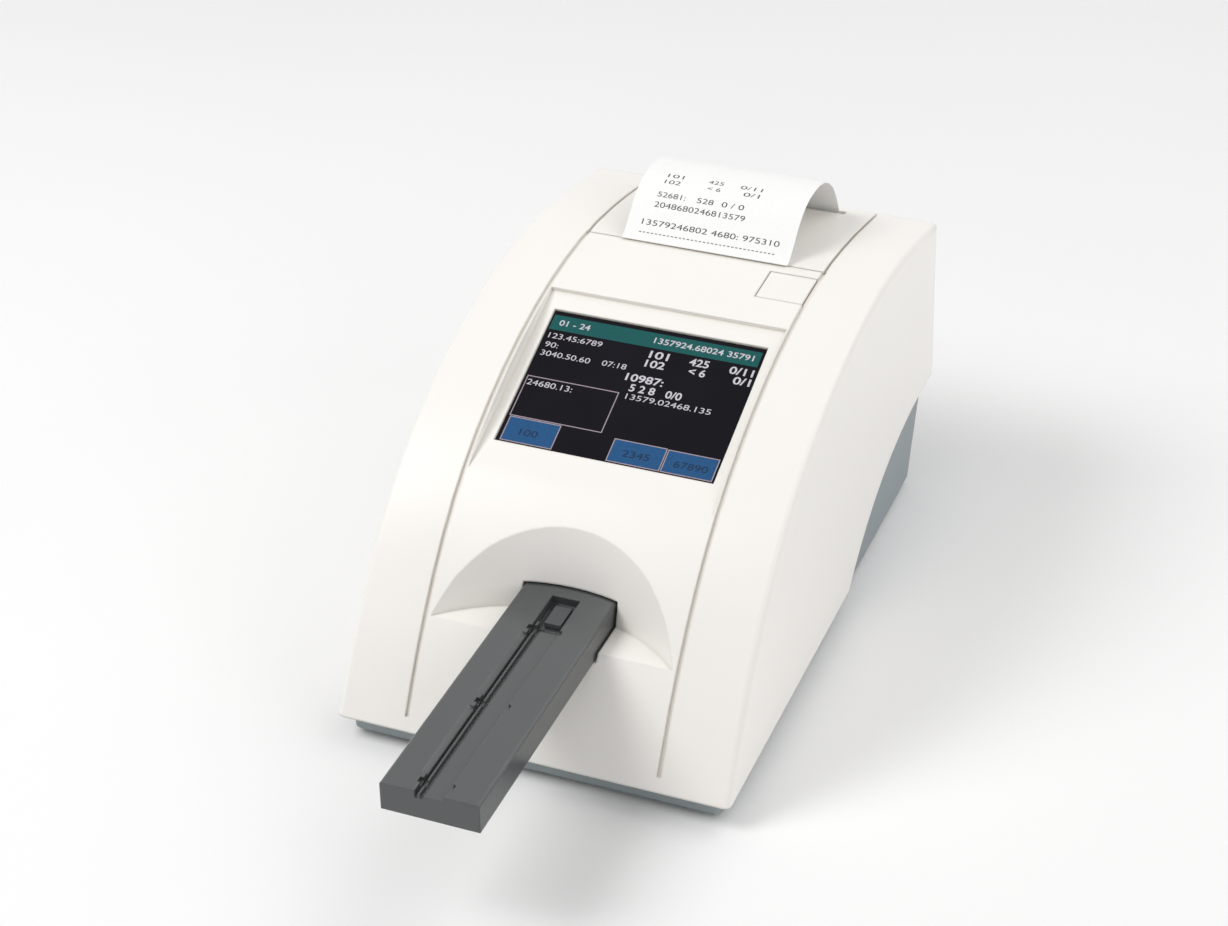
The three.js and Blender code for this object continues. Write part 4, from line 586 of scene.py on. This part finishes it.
def strip_line():
    """The printed face of the paper strip in the side view, from its tip to the slot, in metres."""
    corners = np.array([v.co[:] for v in nodes["paper_strip"].data.vertices])
    edge = corners[corners[:, 0] > corners[:, 0].max() - 1e-5][:, 1:]
    left = [tuple(p) for p in np.unique(np.round(edge, 6), axis=0)]
    chain = [min(left, key=lambda p: p[1] + p[0])]
    left.remove(chain[0])
    while left:
        near = min(left, key=lambda p: math.dist(p, chain[-1]))
        left.remove(near)
        chain.append(near)
    pairs = [np.array(chain[i:i + 2]) for i in range(0, len(chain), 2)]
    middles = np.array([pair.mean(axis=0) for pair in pairs])
    ahead = np.gradient(middles, axis=0)
    aside = np.stack([-ahead[:, 1], ahead[:, 0]], axis=1)
    return np.array([pair[np.argmax(pair @ side)] for pair, side in zip(pairs, aside)])


def add_print():
    """Rows of figures on the paper strip, in millimetres from its left edge and from its tip."""
    line = strip_line()
    steps = np.linalg.norm(np.diff(line, axis=0), axis=1)
    along = np.concatenate([[0.0], np.cumsum(steps)]) / MM
    half = max(v.co.x for v in nodes["paper_strip"].data.vertices) / MM
    wide = 2 * half

    def place(u, v, lift):
        i = int(np.clip(np.searchsorted(along, v) - 1, 0, len(steps) - 1))
        direction = (line[i + 1] - line[i]) / steps[i]
        spot = line[i] + direction * (v - along[i]) * MM
        spot = spot + np.array([-direction[1], direction[0]]) * lift * MM
        return np.array([(u - half) * MM, spot[0], spot[1]])

    sheet = Sheet(place, "door", "paper", folds=along[1:-1])
    height, lift = 2.1, 0.02

    def row(words, start, end, foot):
        sheet.text("ink", words, start * wide, end * wide, foot, height, lift)

    dashes, dash_length, dash_foot, dash_top = 34, 0.85, 3.5, 3.8
    for i in range(dashes):
        u = (0.085 + 0.83 * i / dashes) * wide
        sheet.box("ink", u, dash_foot, u + dash_length, dash_top, lift)
    row("13579246802 4680: 975310", 0.087, 0.918, 6.4)
    row("2048680246813579", 0.13, 0.68, 13.0)
    row("52681:", 0.13, 0.3, 16.9)
    row("528", 0.37, 0.47, 16.9)
    row("0 / 0", 0.52, 0.655, 16.9)
    row("102", 0.14, 0.236, 22.6)
    row("< 6", 0.4, 0.48, 22.6)
    row("0/1", 0.62, 0.716, 22.6)
    row("101", 0.14, 0.237, 26.0)
    row("425", 0.39, 0.48, 26.0)
    row("0/11", 0.585, 0.716, 26.0)
    sheet.make("print")


def ring_shape(radius, width, count=24):
    """A ring as 2D points and faces."""
    points, faces = [], []
    for i in range(count):
        angle = 2 * math.pi * i / count
        for reach in (radius, radius - width):
            points.append((reach * math.cos(angle), reach * math.sin(angle)))
    for i in range(count):
        j = (i + 1) % count
        faces.append((2 * i, 2 * j, 2 * j + 1, 2 * i + 1))
    return points, faces


def add_rocker_marks():
    """A stroke on the upper half of the power rocker's face and a ring on the lower, in white."""
    mesh = nodes["power_rocker"].data
    levels = [v.co.z for v in mesh.vertices]
    valley = (min(levels) + max(levels)) / 2
    right = np.array([-1.0, 0.0, 0.0])
    for name, sign in (("mark_on", 1), ("mark_off", -1)):
        half = [p for p in mesh.polygons if p.normal.y > 0.6 and sign * (p.center.z - valley) > 0]
        corners = np.array([mesh.vertices[i].co[:] for p in half for i in p.vertices])
        middle = (corners.min(axis=0) + corners.max(axis=0)) / 2
        normal = np.array(half[0].normal[:])
        above = np.cross(normal, right)

        def place(u, v, lift):
            return middle + (right * u + above * v + normal * lift) * MM

        sheet = Sheet(place, "rocker", "black_plastic")
        if sign > 0:
            sheet.box("mark", -0.25, -0.9, 0.25, 0.9, 0.03)
        else:
            sheet.add("mark", *ring_shape(0.95, 0.32), 0.03)
        sheet.make(name)


def add_painted_screw_drive_shade():
    """A flat dark cross of painted shade on the head of each screw under the base, standing in for the shaded
    hollow of its drive.
    """
    for i in range(1, 5):
        corners = np.array([v.co[:] for v in nodes[f"base_screw_{i}"].data.vertices])
        middle = (corners.min(axis=0) + corners.max(axis=0)) / 2
        face = corners[:, 2].min()

        def place(u, v, lift):
            return np.array([middle[0] + u * MM, middle[1] + v * MM, face - lift * MM])

        sheet = Sheet(place, "housing", "steel")
        arm, half, lift = 1.5, 0.3, 0.02
        # Three flat dark sheets of painted shade in the shape of the drive's cross
        sheet.box("recess", -arm, -half, arm, half, lift)
        sheet.box("recess", -half, half, half, arm, lift)
        sheet.box("recess", -half, -arm, half, -half, lift)
        sheet.make(f"screw_cross_{i}")


add_camera()
dress_nodes()
add_screen()
add_print()
add_rocker_marks()
add_painted_screw_drive_shade()


# Light, floor and background

def add_floor():
    """A pale floor, just under the feet."""
    half = 6.0
    corners = [(-half, -half, 0), (half, -half, 0), (half, half, 0), (-half, half, 0)]
    mesh = bpy.data.meshes.new("floor")
    mesh.from_pydata(corners, [], [(0, 1, 2, 3)])
    floor = bpy.data.objects.new("floor", mesh)
    scene.collection.objects.link(floor)
    floor.location.z = -0.2 * MM
    made = Shader("floor")
    made.colour(made.ramp(made.noise(3, 2), 0.3, 0.7, linear("#FBFBFB"), linear("#FDFDFD")))
    made.set(Roughness=0.9, Specular_IOR_Level=0.1)
    floor.data.materials.append(made.material)


def add_light(name, place, aim, size, power):
    light = bpy.data.lights.new(name, "AREA")
    light.shape = "SQUARE"
    light.size = size
    light.energy = power
    lamp = bpy.data.objects.new(name, light)
    scene.collection.objects.link(lamp)
    lamp.location = place
    lamp.rotation_euler = (Vector(aim) - Vector(place)).to_track_quat("-Z", "Y").to_euler()


def add_world():
    """White where it is seen, mirrored or seen through, and dimmer as a light on the object."""
    world = bpy.data.worlds.new("studio")
    world.use_nodes = True
    tree = world.node_tree
    background = tree.nodes["Background"]
    background.inputs["Color"].default_value = (1.0, 1.0, 1.0, 1.0)
    path = tree.nodes.new("ShaderNodeLightPath")
    seen = path.outputs["Is Camera Ray"]
    for ray in ("Is Glossy Ray", "Is Transmission Ray"):
        either = tree.nodes.new("ShaderNodeMath")
        either.operation = "MAXIMUM"
        tree.links.new(seen, either.inputs[0])
        tree.links.new(path.outputs[ray], either.inputs[1])
        seen = either.outputs["Value"]
    strength = tree.nodes.new("ShaderNodeMapRange")
    strength.inputs["To Min"].default_value = 0.45
    strength.inputs["To Max"].default_value = 1.0
    tree.links.new(seen, strength.inputs["Value"])
    tree.links.new(strength.outputs["Result"], background.inputs["Strength"])
    scene.world = world


add_floor()
add_light("key", (-0.85, -0.45, 1.15), (0.0, 0.0, 0.04), 0.7, 9.9)
add_light("fill", (1.05, -0.2, 0.7), (0.0, 0.0, 0.05), 1.0, 3.2)
add_light("back", (0.5, 0.75, 1.2), (0.0, 0.05, 0.06), 0.9, 3.8)
add_world()
scene.view_settings.view_transform = "Standard"
